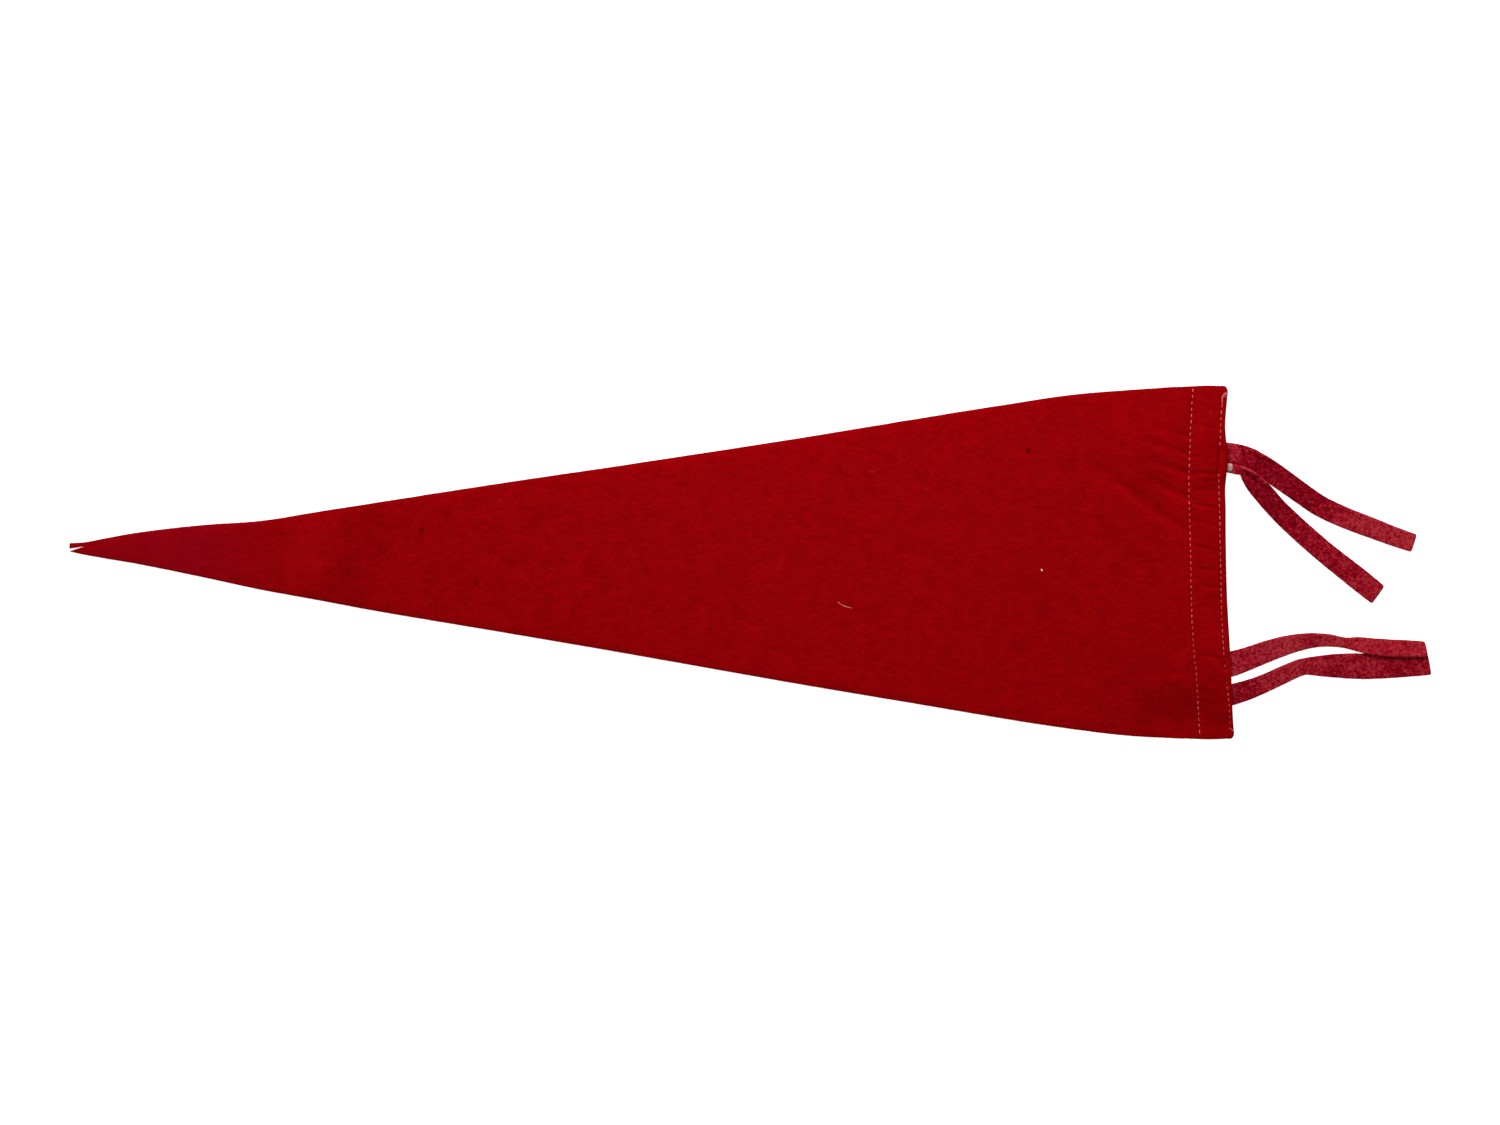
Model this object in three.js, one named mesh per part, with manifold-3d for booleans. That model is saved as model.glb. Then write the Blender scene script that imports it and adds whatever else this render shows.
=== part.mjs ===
// A felt pennant flag that lies face up, with two pairs of felt ties sewn behind its header.
// Millimetres. +X runs from the tip to the ties, +Y runs up the header, and the flag rests
// on the plane Z = 0. The origin is the middle of its footprint.

import * as THREE from "three";
import { mergeVertices } from "three/addons/utils/BufferGeometryUtils.js";
import Module from "manifold-3d";

const wasm = await Module();
wasm.setup();

// Driving dimensions
const CLOTH_THICKNESS = 1.2;
const TIE_THICKNESS = 1.0;
const TIP_X = -374.4; // the very end of the torn sliver at the tip
const HEM_DEPTH = 22; // how far the header edge is turned under
const HEM_GAP = 0.4; // air between the two layers of the hem
const SEAT_GAP = 0.3; // air between a tie and the hem that covers its root
const TIE_TUCK = 8; // how far a tie reaches in behind the hem
const CORNER_RADIUS = 1.6; // rounding of the two header corners
const TURN_STEPS = 5; // facets round the folded edge
const UNDER_STEPS = 6; // cells along the layer that is turned under
const TIE_STEPS = 2; // cells between two rows of a tie's table
const SMALL_STEP = 0.05; // distance over which a slope or a heading is measured

// The hem's folded edge is half a round whose middle line has this radius.
const TURN_RADIUS = (CLOTH_THICKNESS + HEM_GAP) / 2;
const OUTER_RADIUS = TURN_RADIUS + CLOTH_THICKNESS / 2;
const TIE_LIFT = TIE_THICKNESS + SEAT_GAP; // how high the hem rides over a tie

// The two long sides of the flag: y of the top edge and of the bottom edge at each x.
const SIDES = [
  { x: -374.4, top: 10.0, bottom: 6.1 },
  { x: -366, top: 10.6, bottom: 4.2 },
  { x: -354, top: 13.2, bottom: 2.3 },
  { x: -335, top: 16.5, bottom: -1.0 },
  { x: -302, top: 20.5, bottom: -7.6 },
  { x: -269, top: 22.7, bottom: -14.7 },
  { x: -236, top: 28.2, bottom: -20.8 },
  { x: -203, top: 33.1, bottom: -26.8 },
  { x: -137, top: 43.6, bottom: -37.8 },
  { x: -71, top: 52.9, bottom: -49.4 },
  { x: 28, top: 68.3, bottom: -66.4 },
  { x: 94, top: 79.3, bottom: -78.0 },
  { x: 143, top: 87.0, bottom: -86.2 },
  { x: 176, top: 92.0, bottom: -91.2 },
  { x: 209, top: 94.8, bottom: -95.0 },
  { x: 242, top: 96.5, bottom: -96.7 },
  { x: 267, top: 97.0, bottom: -96.9 },
];

// The header: x of the folded edge at each y, from the bottom corner to the top one.
const HEADER = [
  { y: -97, x: 265.8 },
  { y: -82, x: 264.7 },
  { y: -65, x: 264.1 },
  { y: -41, x: 263.0 },
  { y: -16, x: 261.9 },
  { y: 12, x: 261.3 },
  { y: 41, x: 260.8 },
  { y: 57, x: 262.3 },
  { y: 74, x: 260.8 },
  { y: 89, x: 261.9 },
  { y: 97, x: 262.6 },
];
const HEADER_MIDDLE_X = 262;
const HEADER_LENGTH = 193.8;

// Rows of cells along the flag: each span runs to an x of the header's middle.
const SPANS_ALONG = [
  { to: -354, cells: 3 },
  { to: -268, cells: 3 },
  { to: -194, cells: 8 },
  { to: 84, cells: 6 },
  { to: 132, cells: 4 },
  { to: 228, cells: 9 },
  { to: 242, cells: 4 },
  { to: HEADER_MIDDLE_X - OUTER_RADIUS, cells: 6 },
];

// Rows of cells across the flag, counted in mm up the header from its bottom corner.
const SPANS_ACROSS = [
  { to: CORNER_RADIUS / 3, cells: 1 },
  { to: CORNER_RADIUS, cells: 1 },
  { to: 10, cells: 1 },
  { to: 54, cells: 10 },
  { to: 140, cells: 8 },
  { to: 170, cells: 7 },
  { to: HEADER_LENGTH - CORNER_RADIUS, cells: 3 },
  { to: HEADER_LENGTH - CORNER_RADIUS / 3, cells: 1 },
  { to: HEADER_LENGTH, cells: 1 },
];

// Low swells that the cloth keeps from having been rolled and pinned: an oval mound with its
// middle, its two half lengths, the turn of its long axis in degrees and its height.
const SWELLS = [
  { name: "old fold by the tip", x: -231, y: 3, long: 75, wide: 34, turn: 97, height: 2.6 },
  { name: "fold line near the middle", x: 108, y: -40, long: 55, wide: 12, turn: 93, height: 0.9 },
  { name: "rise above the diagonal trough", x: 222, y: 62, long: 48, wide: 27, turn: -32, height: 2.2 },
  { name: "rise below the diagonal trough", x: 184, y: 8, long: 58, wide: 34, turn: -32, height: 1.5 },
  { name: "rise by the lower ties", x: 216, y: -50, long: 50, wide: 30, turn: 20, height: 2.3 },
];
const DEGREE = Math.PI / 180;

// Where the hem rides over the root of a tie: the middle and half width of the flat top of each
// hump up the header, and the width of the slopes round it.
const HUMPS = [
  { name: "upper pair", y: 57.5, half: 11.2 },
  { name: "lower pair, top tie", y: -57.0, half: 9.8 },
  { name: "lower pair, under tie", y: -74.4, half: 7.8 },
];
const HUMP_SLOPE = 6;
const HUMP_MARGIN = 2; // flat of the hump past the tie's tucked end
const STEP_SLOPE = 10; // length over which the cloth climbs on to its own hem
const STEP_MARGIN = 1.2; // flat past the hem's raw edge

// Each tie: its middle line from the tucked end to the free end, the width it was cut to, and
// its roll in degrees, positive where the side away from the flag's bottom edge stands higher.
const TIES = {
  tie_upper_long: [
    { x: 254.3, y: 60.7, width: 11.0, roll: 0 },
    { x: 263.0, y: 60.5, width: 11.0, roll: 0 },
    { x: 272.4, y: 58.3, width: 11.4, roll: 3 },
    { x: 281.7, y: 53.3, width: 11.8, roll: 5 },
    { x: 290.8, y: 47.0, width: 12.2, roll: 4 },
    { x: 302.6, y: 38.6, width: 11.8, roll: 2 },
    { x: 313.5, y: 31.2, width: 11.7, roll: 0 },
    { x: 327.5, y: 24.6, width: 11.6, roll: 0 },
    { x: 341.3, y: 19.3, width: 11.3, roll: 0 },
    { x: 355.0, y: 14.1, width: 10.7, roll: 0 },
    { x: 365.6, y: 10.5, width: 10.3, roll: 0 },
  ],
  tie_upper_short: [
    { x: 254.3, y: 52.0, width: 5.0, roll: 0 },
    { x: 263.0, y: 51.8, width: 5.0, roll: 0 },
    { x: 267.2, y: 51.0, width: 5.0, roll: 2 },
    { x: 270.4, y: 49.7, width: 5.9, roll: 32 },
    { x: 273.5, y: 46.9, width: 8.3, roll: 28 },
    { x: 277.0, y: 43.3, width: 10.2, roll: 17 },
    { x: 281.8, y: 38.7, width: 11.2, roll: 10 },
    { x: 291.2, y: 28.3, width: 11.5, roll: 3 },
    { x: 302.7, y: 17.4, width: 11.8, roll: 0 },
    { x: 316.0, y: 5.8, width: 11.9, roll: 0 },
    { x: 329.8, y: -5.2, width: 12.3, roll: 0 },
    { x: 339.0, y: -12.5, width: 12.4, roll: 0 },
    { x: 345.9, y: -18.0, width: 12.0, roll: 0 },
  ],
  tie_lower_top: [
    { x: 256.6, y: -58.0, width: 13.8, roll: 0 },
    { x: 265.2, y: -55.7, width: 13.8, roll: 0 },
    { x: 274.9, y: -52.5, width: 12.7, roll: 0 },
    { x: 285.3, y: -48.6, width: 12.0, roll: 6 },
    { x: 297.1, y: -45.0, width: 10.8, roll: 16 },
    { x: 308.1, y: -43.0, width: 9.3, roll: 25 },
    { x: 318.0, y: -42.8, width: 7.8, roll: 24 },
    { x: 327.6, y: -44.2, width: 6.0, roll: 0 },
    { x: 334.0, y: -44.9, width: 8.3, roll: -14 },
    { x: 343.0, y: -46.3, width: 9.6, roll: -12 },
    { x: 352.0, y: -47.1, width: 9.9, roll: -11 },
    { x: 362.0, y: -47.4, width: 9.6, roll: -11 },
    { x: 372.3, y: -47.6, width: 8.8, roll: -12 },
  ],
  tie_lower_under: [
    { x: 257.2, y: -75.2, width: 11.6, roll: 0 },
    { x: 265.6, y: -72.6, width: 11.6, roll: 0 },
    { x: 274.9, y: -69.7, width: 10.9, roll: 0 },
    { x: 283.2, y: -66.4, width: 10.2, roll: 3 },
    { x: 293.2, y: -61.8, width: 9.9, roll: 5 },
    { x: 301.4, y: -58.3, width: 9.7, roll: 3 },
    { x: 311.4, y: -56.9, width: 11.0, roll: 0 },
    { x: 323.5, y: -56.8, width: 13.3, roll: 0 },
    { x: 336.7, y: -57.1, width: 14.2, roll: 0 },
    { x: 349.0, y: -57.2, width: 13.2, roll: 0 },
    { x: 361.5, y: -56.7, width: 12.5, roll: 0 },
    { x: 374.0, y: -55.9, width: 11.9, roll: 0 },
  ],
};

// The slit at the tip: a thin wedge that parts a sliver of felt from the point.
const SLIT = { apexX: -366.4, apexY: 8.5, mouthX: -376, mouthTop: 8.0, mouthBottom: 4.9 };
const SLIT_CUT_HEIGHT = 10;

// Finishes
const RED_FELT = new THREE.MeshStandardMaterial({ color: 0x8e0207, roughness: 0.95, metalness: 0 });
const TIE_FELT = new THREE.MeshStandardMaterial({ color: 0x8b1c28, roughness: 0.95, metalness: 0 });

// A smooth curve through one column of a table, read at a value of its key column.
function curveThrough(rows, key, column) {
  const last = rows.length - 1;
  const slopes = rows.map((row, i) => {
    const before = rows[Math.max(0, i - 1)];
    const after = rows[Math.min(last, i + 1)];
    return (after[column] - before[column]) / (after[key] - before[key]);
  });
  return (at) => {
    const next = rows.findIndex((row) => row[key] > at);
    const i = Math.max(0, (next < 0 ? last : next) - 1);
    const span = rows[i + 1][key] - rows[i][key];
    const t = THREE.MathUtils.clamp((at - rows[i][key]) / span, 0, 1);
    const start = rows[i][column] * (2 * t ** 3 - 3 * t ** 2 + 1);
    const end = rows[i + 1][column] * (3 * t ** 2 - 2 * t ** 3);
    const bend = slopes[i] * (t ** 3 - 2 * t ** 2 + t) + slopes[i + 1] * (t ** 3 - t ** 2);
    return start + end + bend * span;
  };
}

// Stations from a table of spans, each cut into equal cells.
function stationsOf(spans, from) {
  const stations = [from];
  for (const span of spans) {
    const start = stations[stations.length - 1];
    for (let i = 1; i <= span.cells; i++) {
      stations.push(start + ((span.to - start) * i) / span.cells);
    }
  }
  return stations;
}

// 1 on a flat top of the given half width, 0 past a smooth slope on each side of it.
function plateau(distance, half, slope) {
  return 1 - THREE.MathUtils.smoothstep(Math.abs(distance), half, half + slope);
}

const topEdge = curveThrough(SIDES, "x", "top");
const bottomEdge = curveThrough(SIDES, "x", "bottom");
const headerEdge = curveThrough(HEADER, "y", "x");

// Y of a thread that runs along the flag, with share 0 on the bottom edge and 1 on the top one.
function threadY(x, share) {
  return THREE.MathUtils.lerp(bottomEdge(x), topEdge(x), share);
}

// X of the middle of the folded edge's round, which draws in at the two corners.
function foldCentreX(share) {
  const y = threadY(HEADER_MIDDLE_X, share);
  const toCorner = Math.min(share, 1 - share) * HEADER_LENGTH;
  const inset = Math.max(0, CORNER_RADIUS - toCorner);
  const drawnIn = CORNER_RADIUS - Math.sqrt(CORNER_RADIUS ** 2 - inset ** 2);
  return headerEdge(y) - OUTER_RADIUS - drawnIn;
}

// Height of the swells at a point of the cloth.
function swellHeight(x, y) {
  let height = 0;
  for (const swell of SWELLS) {
    const cos = Math.cos(swell.turn * DEGREE);
    const sin = Math.sin(swell.turn * DEGREE);
    const along = ((x - swell.x) * cos + (y - swell.y) * sin) / swell.long;
    const across = ((y - swell.y) * cos - (x - swell.x) * sin) / swell.wide;
    const reach = Math.hypot(along, across);
    if (reach < 1) height += swell.height * (0.5 + 0.5 * Math.cos(Math.PI * reach));
  }
  return height;
}

// How far the hem is lifted by the ties under it.
function tieLift(x, y, foldX) {
  const inward = foldX - x;
  const along = plateau(Math.max(0, inward), TIE_TUCK + HUMP_MARGIN, HUMP_SLOPE);
  const across = HUMPS.map((hump) => plateau(y - hump.y, hump.half, HUMP_SLOPE));
  return TIE_LIFT * along * Math.max(...across);
}

// Height of the face layer's underside.
function faceHeight(x, y, foldX) {
  const onHem = plateau(Math.max(0, foldX - x), HEM_DEPTH + STEP_MARGIN, STEP_SLOPE);
  return tieLift(x, y, foldX) + 2 * TURN_RADIUS * onHem + swellHeight(x, y) * (1 - onHem);
}

// The upward normal of a height field.
function normalOf(height, x, y) {
  const slopeX = (height(x + SMALL_STEP, y) - height(x - SMALL_STEP, y)) / (2 * SMALL_STEP);
  const slopeY = (height(x, y + SMALL_STEP) - height(x, y - SMALL_STEP)) / (2 * SMALL_STEP);
  return new THREE.Vector3(-slopeX, -slopeY, 1).normalize();
}

// One row of the cloth across the flag: middle points and the normals of its outer side.
function faceRow(nominalX, shares) {
  const along = (nominalX - TIP_X) / (HEADER_MIDDLE_X - OUTER_RADIUS - TIP_X);
  return shares.map((share) => {
    const foldX = foldCentreX(share);
    const x = THREE.MathUtils.lerp(TIP_X, foldX, along);
    const y = threadY(x, share);
    const height = (px, py) => faceHeight(px, py, foldX);
    const middle = new THREE.Vector3(x, y, height(x, y) + CLOTH_THICKNESS / 2);
    return { middle, normal: normalOf(height, x, y) };
  });
}

function turnRow(angle, shares) {
  return shares.map((share) => {
    const foldX = foldCentreX(share);
    const y = threadY(foldX, share);
    const lift = (px, py) => tieLift(px, py, foldX);
    const up = normalOf(lift, foldX, y);
    const normal = new THREE.Vector3(Math.sin(angle), up.y * Math.cos(angle), up.z * Math.cos(angle));
    const z = lift(foldX, y) + CLOTH_THICKNESS / 2 + TURN_RADIUS * (1 + Math.cos(angle));
    const middle = new THREE.Vector3(foldX + TURN_RADIUS * Math.sin(angle), y, z);
    return { middle, normal: normal.normalize() };
  });
}

function underRow(inward, shares) {
  return shares.map((share) => {
    const foldX = foldCentreX(share);
    const x = foldX - inward;
    const y = threadY(x, share);
    const lift = (px, py) => tieLift(px, py, foldX);
    const middle = new THREE.Vector3(x, y, lift(x, y) + CLOTH_THICKNESS / 2);
    return { middle, normal: normalOf(lift, x, y).negate() };
  });
}

// A closed sheet of even thickness from rows of middle points and normals.
function sheetGeometry(rows, thickness) {
  const across = rows[0].length;
  const count = rows.length * across;
  const points = [];
  for (const side of [1, -1]) {
    for (const row of rows) {
      for (const { middle, normal } of row) {
        points.push(middle.clone().addScaledVector(normal, (side * thickness) / 2));
      }
    }
  }
  const faces = [];
  const quad = (a, b, c, d) => faces.push(a, b, c, a, c, d);
  for (let i = 0; i + 1 < rows.length; i++) {
    for (let j = 0; j + 1 < across; j++) {
      const at = i * across + j;
      quad(at, at + across, at + across + 1, at + 1);
      quad(count + at, count + at + 1, count + at + across + 1, count + at + across);
    }
    const first = i * across;
    const final = first + across - 1;
    quad(first, count + first, count + first + across, first + across);
    quad(final, final + across, count + final + across, count + final);
  }
  const lastRow = count - across;
  for (let j = 0; j + 1 < across; j++) {
    quad(j, j + 1, count + j + 1, count + j);
    quad(lastRow + j, count + lastRow + j, count + lastRow + j + 1, lastRow + j + 1);
  }
  const geometry = new THREE.BufferGeometry().setFromPoints(points);
  geometry.setIndex(faces);
  return geometry;
}

// Solids for cutting.
function solidOf(geometry) {
  const bare = new THREE.BufferGeometry().setIndex(geometry.index);
  bare.setAttribute("position", geometry.getAttribute("position"));
  const merged = mergeVertices(bare, 1e-4);
  return new wasm.Manifold(
    new wasm.Mesh({
      numProp: 3,
      vertProperties: merged.getAttribute("position").array,
      triVerts: new Uint32Array(merged.index.array),
    }),
  );
}

function geometryOf(solid) {
  const mesh = solid.getMesh();
  const geometry = new THREE.BufferGeometry();
  geometry.setAttribute("position", new THREE.BufferAttribute(mesh.vertProperties, 3));
  geometry.setIndex(new THREE.BufferAttribute(mesh.triVerts, 1));
  return geometry;
}

// The pennant: one piece of felt from the tip, over the folded edge and back under as the hem.
function clothGeometry() {
  const shares = stationsOf(SPANS_ACROSS, 0).map((up) => up / HEADER_LENGTH);
  const rows = stationsOf(SPANS_ALONG, TIP_X).map((x) => faceRow(x, shares));
  for (let i = 1; i < TURN_STEPS; i++) rows.push(turnRow((Math.PI * i) / TURN_STEPS, shares));
  for (let i = 0; i <= UNDER_STEPS; i++) rows.push(underRow((HEM_DEPTH * i) / UNDER_STEPS, shares));

  const wedge = new THREE.Shape();
  wedge.moveTo(SLIT.apexX, SLIT.apexY);
  wedge.lineTo(SLIT.mouthX, SLIT.mouthTop);
  wedge.lineTo(SLIT.mouthX, SLIT.mouthBottom);
  wedge.closePath();
  const cutter = new THREE.ExtrudeGeometry(wedge, { depth: SLIT_CUT_HEIGHT, bevelEnabled: false });
  cutter.translate(0, 0, -SLIT_CUT_HEIGHT / 2);
  const cutterIndexed = mergeVertices(cutter.deleteAttribute("normal").deleteAttribute("uv"));
  return geometryOf(solidOf(sheetGeometry(rows, CLOTH_THICKNESS)).subtract(solidOf(cutterIndexed)));
}

// A tie: a strip of felt on its middle line, each section resting on its lower corner.
function tieGeometry(table) {
  let run = 0;
  const rows = table.map((row, i) => {
    if (i > 0) run += Math.hypot(row.x - table[i - 1].x, row.y - table[i - 1].y);
    return { ...row, run };
  });
  const [xAt, yAt, widthAt, rollAt] = ["x", "y", "width", "roll"].map((column) =>
    curveThrough(rows, "run", column),
  );
  const runs = stationsOf(rows.slice(1).map((row) => ({ to: row.run, cells: TIE_STEPS })), 0);
  const sections = runs.map((at) => {
    const back = Math.max(0, at - SMALL_STEP);
    const ahead = Math.min(run, at + SMALL_STEP);
    const heading = Math.atan2(yAt(ahead) - yAt(back), xAt(ahead) - xAt(back));
    const roll = rollAt(at) * DEGREE;
    const half = widthAt(at) / 2;
    const left = new THREE.Vector3(-Math.sin(heading), Math.cos(heading), 0);
    const leftUp = left.clone().multiplyScalar(Math.cos(roll)).setZ(Math.sin(roll));
    const normal = left.clone().multiplyScalar(-Math.sin(roll)).setZ(Math.cos(roll));
    const z = half * Math.abs(Math.sin(roll)) + (TIE_THICKNESS / 2) * Math.cos(roll);
    const centre = new THREE.Vector3(xAt(at), yAt(at), z);
    return [-half, 0, half].map((offset) => ({
      middle: centre.clone().addScaledVector(leftUp, offset),
      normal,
    }));
  });
  return sheetGeometry(sections, TIE_THICKNESS);
}

function named(name, geometry, material) {
  const mesh = new THREE.Mesh(geometry, material);
  mesh.name = name;
  return mesh;
}

const pennant = new THREE.Group();
pennant.add(named("pennant_cloth", clothGeometry(), RED_FELT));
for (const [name, table] of Object.entries(TIES)) {
  pennant.add(named(name, tieGeometry(table), TIE_FELT));
}

export default pennant;
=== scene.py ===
# %% [markdown]
# # A felt pennant flag, lying flat
#
# A pennant is a long triangle of felt. Its wide end is turned under and stitched down as
# a flat sleeve, and narrow felt ties are sewn in behind that folded edge. It is a very
# plain thing, so everything depends on the felt: how thick it is, how its edges are cut,
# how it puckers where the needle went through, and how its dye and fibres vary.
#
# The imported CAD model comes first, because it fixes where each piece lies.

import math
import random

import bmesh
import bpy
import numpy as np
from mathutils import Matrix, Vector, noise
from mathutils.bvhtree import BVHTree


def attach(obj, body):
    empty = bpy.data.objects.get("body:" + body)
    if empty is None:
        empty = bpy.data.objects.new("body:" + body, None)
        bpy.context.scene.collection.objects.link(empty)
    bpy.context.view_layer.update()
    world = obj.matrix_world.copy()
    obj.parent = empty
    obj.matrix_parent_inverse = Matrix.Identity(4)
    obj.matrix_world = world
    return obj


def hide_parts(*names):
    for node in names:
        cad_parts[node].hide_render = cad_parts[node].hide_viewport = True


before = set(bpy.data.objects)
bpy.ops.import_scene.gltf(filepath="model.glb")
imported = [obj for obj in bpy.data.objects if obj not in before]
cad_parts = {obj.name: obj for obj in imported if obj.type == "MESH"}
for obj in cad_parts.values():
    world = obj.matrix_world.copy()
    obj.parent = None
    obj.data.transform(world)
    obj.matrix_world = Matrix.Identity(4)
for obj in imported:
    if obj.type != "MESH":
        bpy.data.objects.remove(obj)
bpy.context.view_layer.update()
MM = 0.001  # the tables below are in millimetres, and Blender works in metres

# %% [markdown]
# ## The camera
#
# The photograph looks straight down. A long lens far above the cloth keeps the outline
# free of perspective. The width of cloth that the picture takes in and the lens give the
# distance: a picture is as wide as distance times sensor width over focal length.

# %% Camera
PICTURE_WIDTH = 825.0
LENS = 100.0
SENSOR = 36.0
CLOTH_THICKNESS = 1.2

camera_data = bpy.data.cameras.new("camera_above")
camera_data.lens = LENS
camera_data.sensor_width = SENSOR
camera = bpy.data.objects.new("camera_above", camera_data)
camera.location = (0, 0, (PICTURE_WIDTH * LENS / SENSOR + CLOTH_THICKNESS) * MM)
bpy.context.scene.collection.objects.link(camera)
bpy.context.scene.camera = camera
print("camera height", round(camera.location.z, 3), "m")

# %% [markdown]
# ## The light
#
# The photograph was lit softly. Low light from the top draws the folds: a slope that faces
# it is brighter, and the far side of each crease is darker. A sun with a wide angle does
# that equally at both ends of a long flag. A lamp above the top edge adds a little that
# fades towards the bottom edge, and a white sky fills the rest. The Standard view keeps
# a strong red as it is, where the default view would grey it.

# %% Sky, sun and lamp
WHITE = (1.0, 1.0, 1.0, 1.0)
SKY_STRENGTH = 0.346
SUN_STRENGTH = 2.5
SUN_HEIGHT = 26.0  # degrees above the cloth
SUN_TURN = 98.0  # degrees from +X towards +Y, seen from above
SUN_SPREAD = 20.0  # degrees across
LAMP_PLACE = (-5.0, 640.0, 380.0)
LAMP_POWER = 5.4
LAMP_SIZE = 300.0

bpy.context.scene.view_settings.view_transform = "Standard"

sky = bpy.data.worlds.new("white_sky")
sky.use_nodes = True
sky.node_tree.nodes["Background"].inputs["Color"].default_value = WHITE
sky.node_tree.nodes["Background"].inputs["Strength"].default_value = SKY_STRENGTH
bpy.context.scene.world = sky

sun_data = bpy.data.lights.new("broad_light", "SUN")
sun_data.energy = SUN_STRENGTH
sun_data.angle = math.radians(SUN_SPREAD)
sun = bpy.data.objects.new("broad_light", sun_data)
sun_height = math.radians(SUN_HEIGHT)
sun_turn = math.radians(SUN_TURN)
sun_from = Vector(
    (
        math.cos(sun_height) * math.cos(sun_turn),
        math.cos(sun_height) * math.sin(sun_turn),
        math.sin(sun_height),
    )
)
sun.rotation_euler = sun_from.to_track_quat("Z", "Y").to_euler()
bpy.context.scene.collection.objects.link(sun)

lamp_data = bpy.data.lights.new("lamp_above_top_edge", "AREA")
lamp_data.energy = LAMP_POWER
lamp_data.size = LAMP_SIZE * MM
lamp = bpy.data.objects.new("lamp_above_top_edge", lamp_data)
lamp.location = Vector(LAMP_PLACE) * MM
lamp.rotation_euler = lamp.location.to_track_quat("Z", "Y").to_euler()
bpy.context.scene.collection.objects.link(lamp)
print("sun from", [round(value, 2) for value in sun_from])

# %% [markdown]
# ## The table
#
# The flag lay on a white table, bright enough to lose every shadow on it. A plain sheet
# just below the cloth stands for it, and it glows a little, as a light table does. Two
# helpers come first, because every later piece needs a material and an object too.

# %% Helpers for materials and objects
def new_material(name):
    """An empty material with its shader and output, and the tree to build on."""
    material = bpy.data.materials.new(name)
    material.use_nodes = True
    tree = material.node_tree
    return material, tree, tree.nodes["Principled BSDF"]


def object_from(bm, name, material):
    """Turns a bmesh into a smooth shaded object that sits at the origin."""
    mesh = bpy.data.meshes.new(name)
    bm.to_mesh(mesh)
    bm.free()
    mesh.materials.append(material)
    mesh.polygons.foreach_set("use_smooth", [True] * len(mesh.polygons))
    piece = bpy.data.objects.new(name, mesh)
    bpy.context.scene.collection.objects.link(piece)
    return piece


# %% Glowing table
TABLE_COLOUR = (0.92, 0.92, 0.92, 1.0)
TABLE_GLOW = 0.88
TABLE_HALF_SIDE = 4000.0
TABLE_GAP = 0.25  # how far the table stays below the cloth

white_floor, _, floor_shader = new_material("white_floor")
floor_shader.inputs["Base Color"].default_value = TABLE_COLOUR
floor_shader.inputs["Roughness"].default_value = 1.0
floor_shader.inputs["Specular IOR Level"].default_value = 0.0
floor_shader.inputs["Emission Color"].default_value = WHITE
floor_shader.inputs["Emission Strength"].default_value = TABLE_GLOW

bm = bmesh.new()
bmesh.ops.create_grid(bm, x_segments=1, y_segments=1, size=TABLE_HALF_SIDE * MM)
bmesh.ops.translate(bm, verts=bm.verts, vec=(0, 0, -TABLE_GAP * MM))
floor = object_from(bm, "floor", white_floor)
print("table", round(2 * TABLE_HALF_SIDE * MM), "m wide")

# %% [markdown]
# ## Curves through measured points
#
# The flag's outline was measured at a few places, in millimetres from the middle of its
# footprint. A smooth curve through them gives the edge everywhere between. The same
# curves shape the solid that this cloth stands for, so both keep one outline.

# %% Helpers for curves, spans and soft steps
def curve_through(table, key, column):
    """A smooth curve through one column of a table, read at values of its key column."""
    knots = np.array([row[key] for row in table], float)
    values = np.array([row[column] for row in table], float)
    before = np.maximum(np.arange(len(knots)) - 1, 0)
    after = np.minimum(np.arange(len(knots)) + 1, len(knots) - 1)
    slopes = (values[after] - values[before]) / (knots[after] - knots[before])

    def at(where):
        where = np.asarray(where, float)
        i = np.clip(np.searchsorted(knots, where, side="right") - 1, 0, len(knots) - 2)
        span = knots[i + 1] - knots[i]
        t = np.clip((where - knots[i]) / span, 0, 1)
        start = values[i] * (2 * t**3 - 3 * t**2 + 1)
        end = values[i + 1] * (3 * t**2 - 2 * t**3)
        bend = slopes[i] * (t**3 - 2 * t**2 + t) + slopes[i + 1] * (t**3 - t**2)
        return start + end + bend * span

    return at


def places_along(start, spans):
    """Places along a line: each span runs on to a place, in equal steps of about a size."""
    places = [start]
    for to, step in spans:
        count = max(1, round((to - places[-1]) / step))
        places += list(np.linspace(places[-1], to, count + 1)[1:])
    return np.array(places)


def plateau(distance, half, slope):
    """1 on a flat top of the given half width, 0 past a smooth slope on each side."""
    t = np.clip((np.abs(distance) - half) / slope, 0, 1)
    return 1 - t * t * (3 - 2 * t)


print("a plateau is", float(plateau(1.5, 1, 1)), "high in the middle of its slope")

# %% [markdown]
# The two long edges run from the tip to the folded header, and both are bowed a little,
# because the felt has stretched. The header bulges where the ties pull at it. Twelve to
# eighteen points are enough for each, as the curves carry the shape between them.

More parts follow.
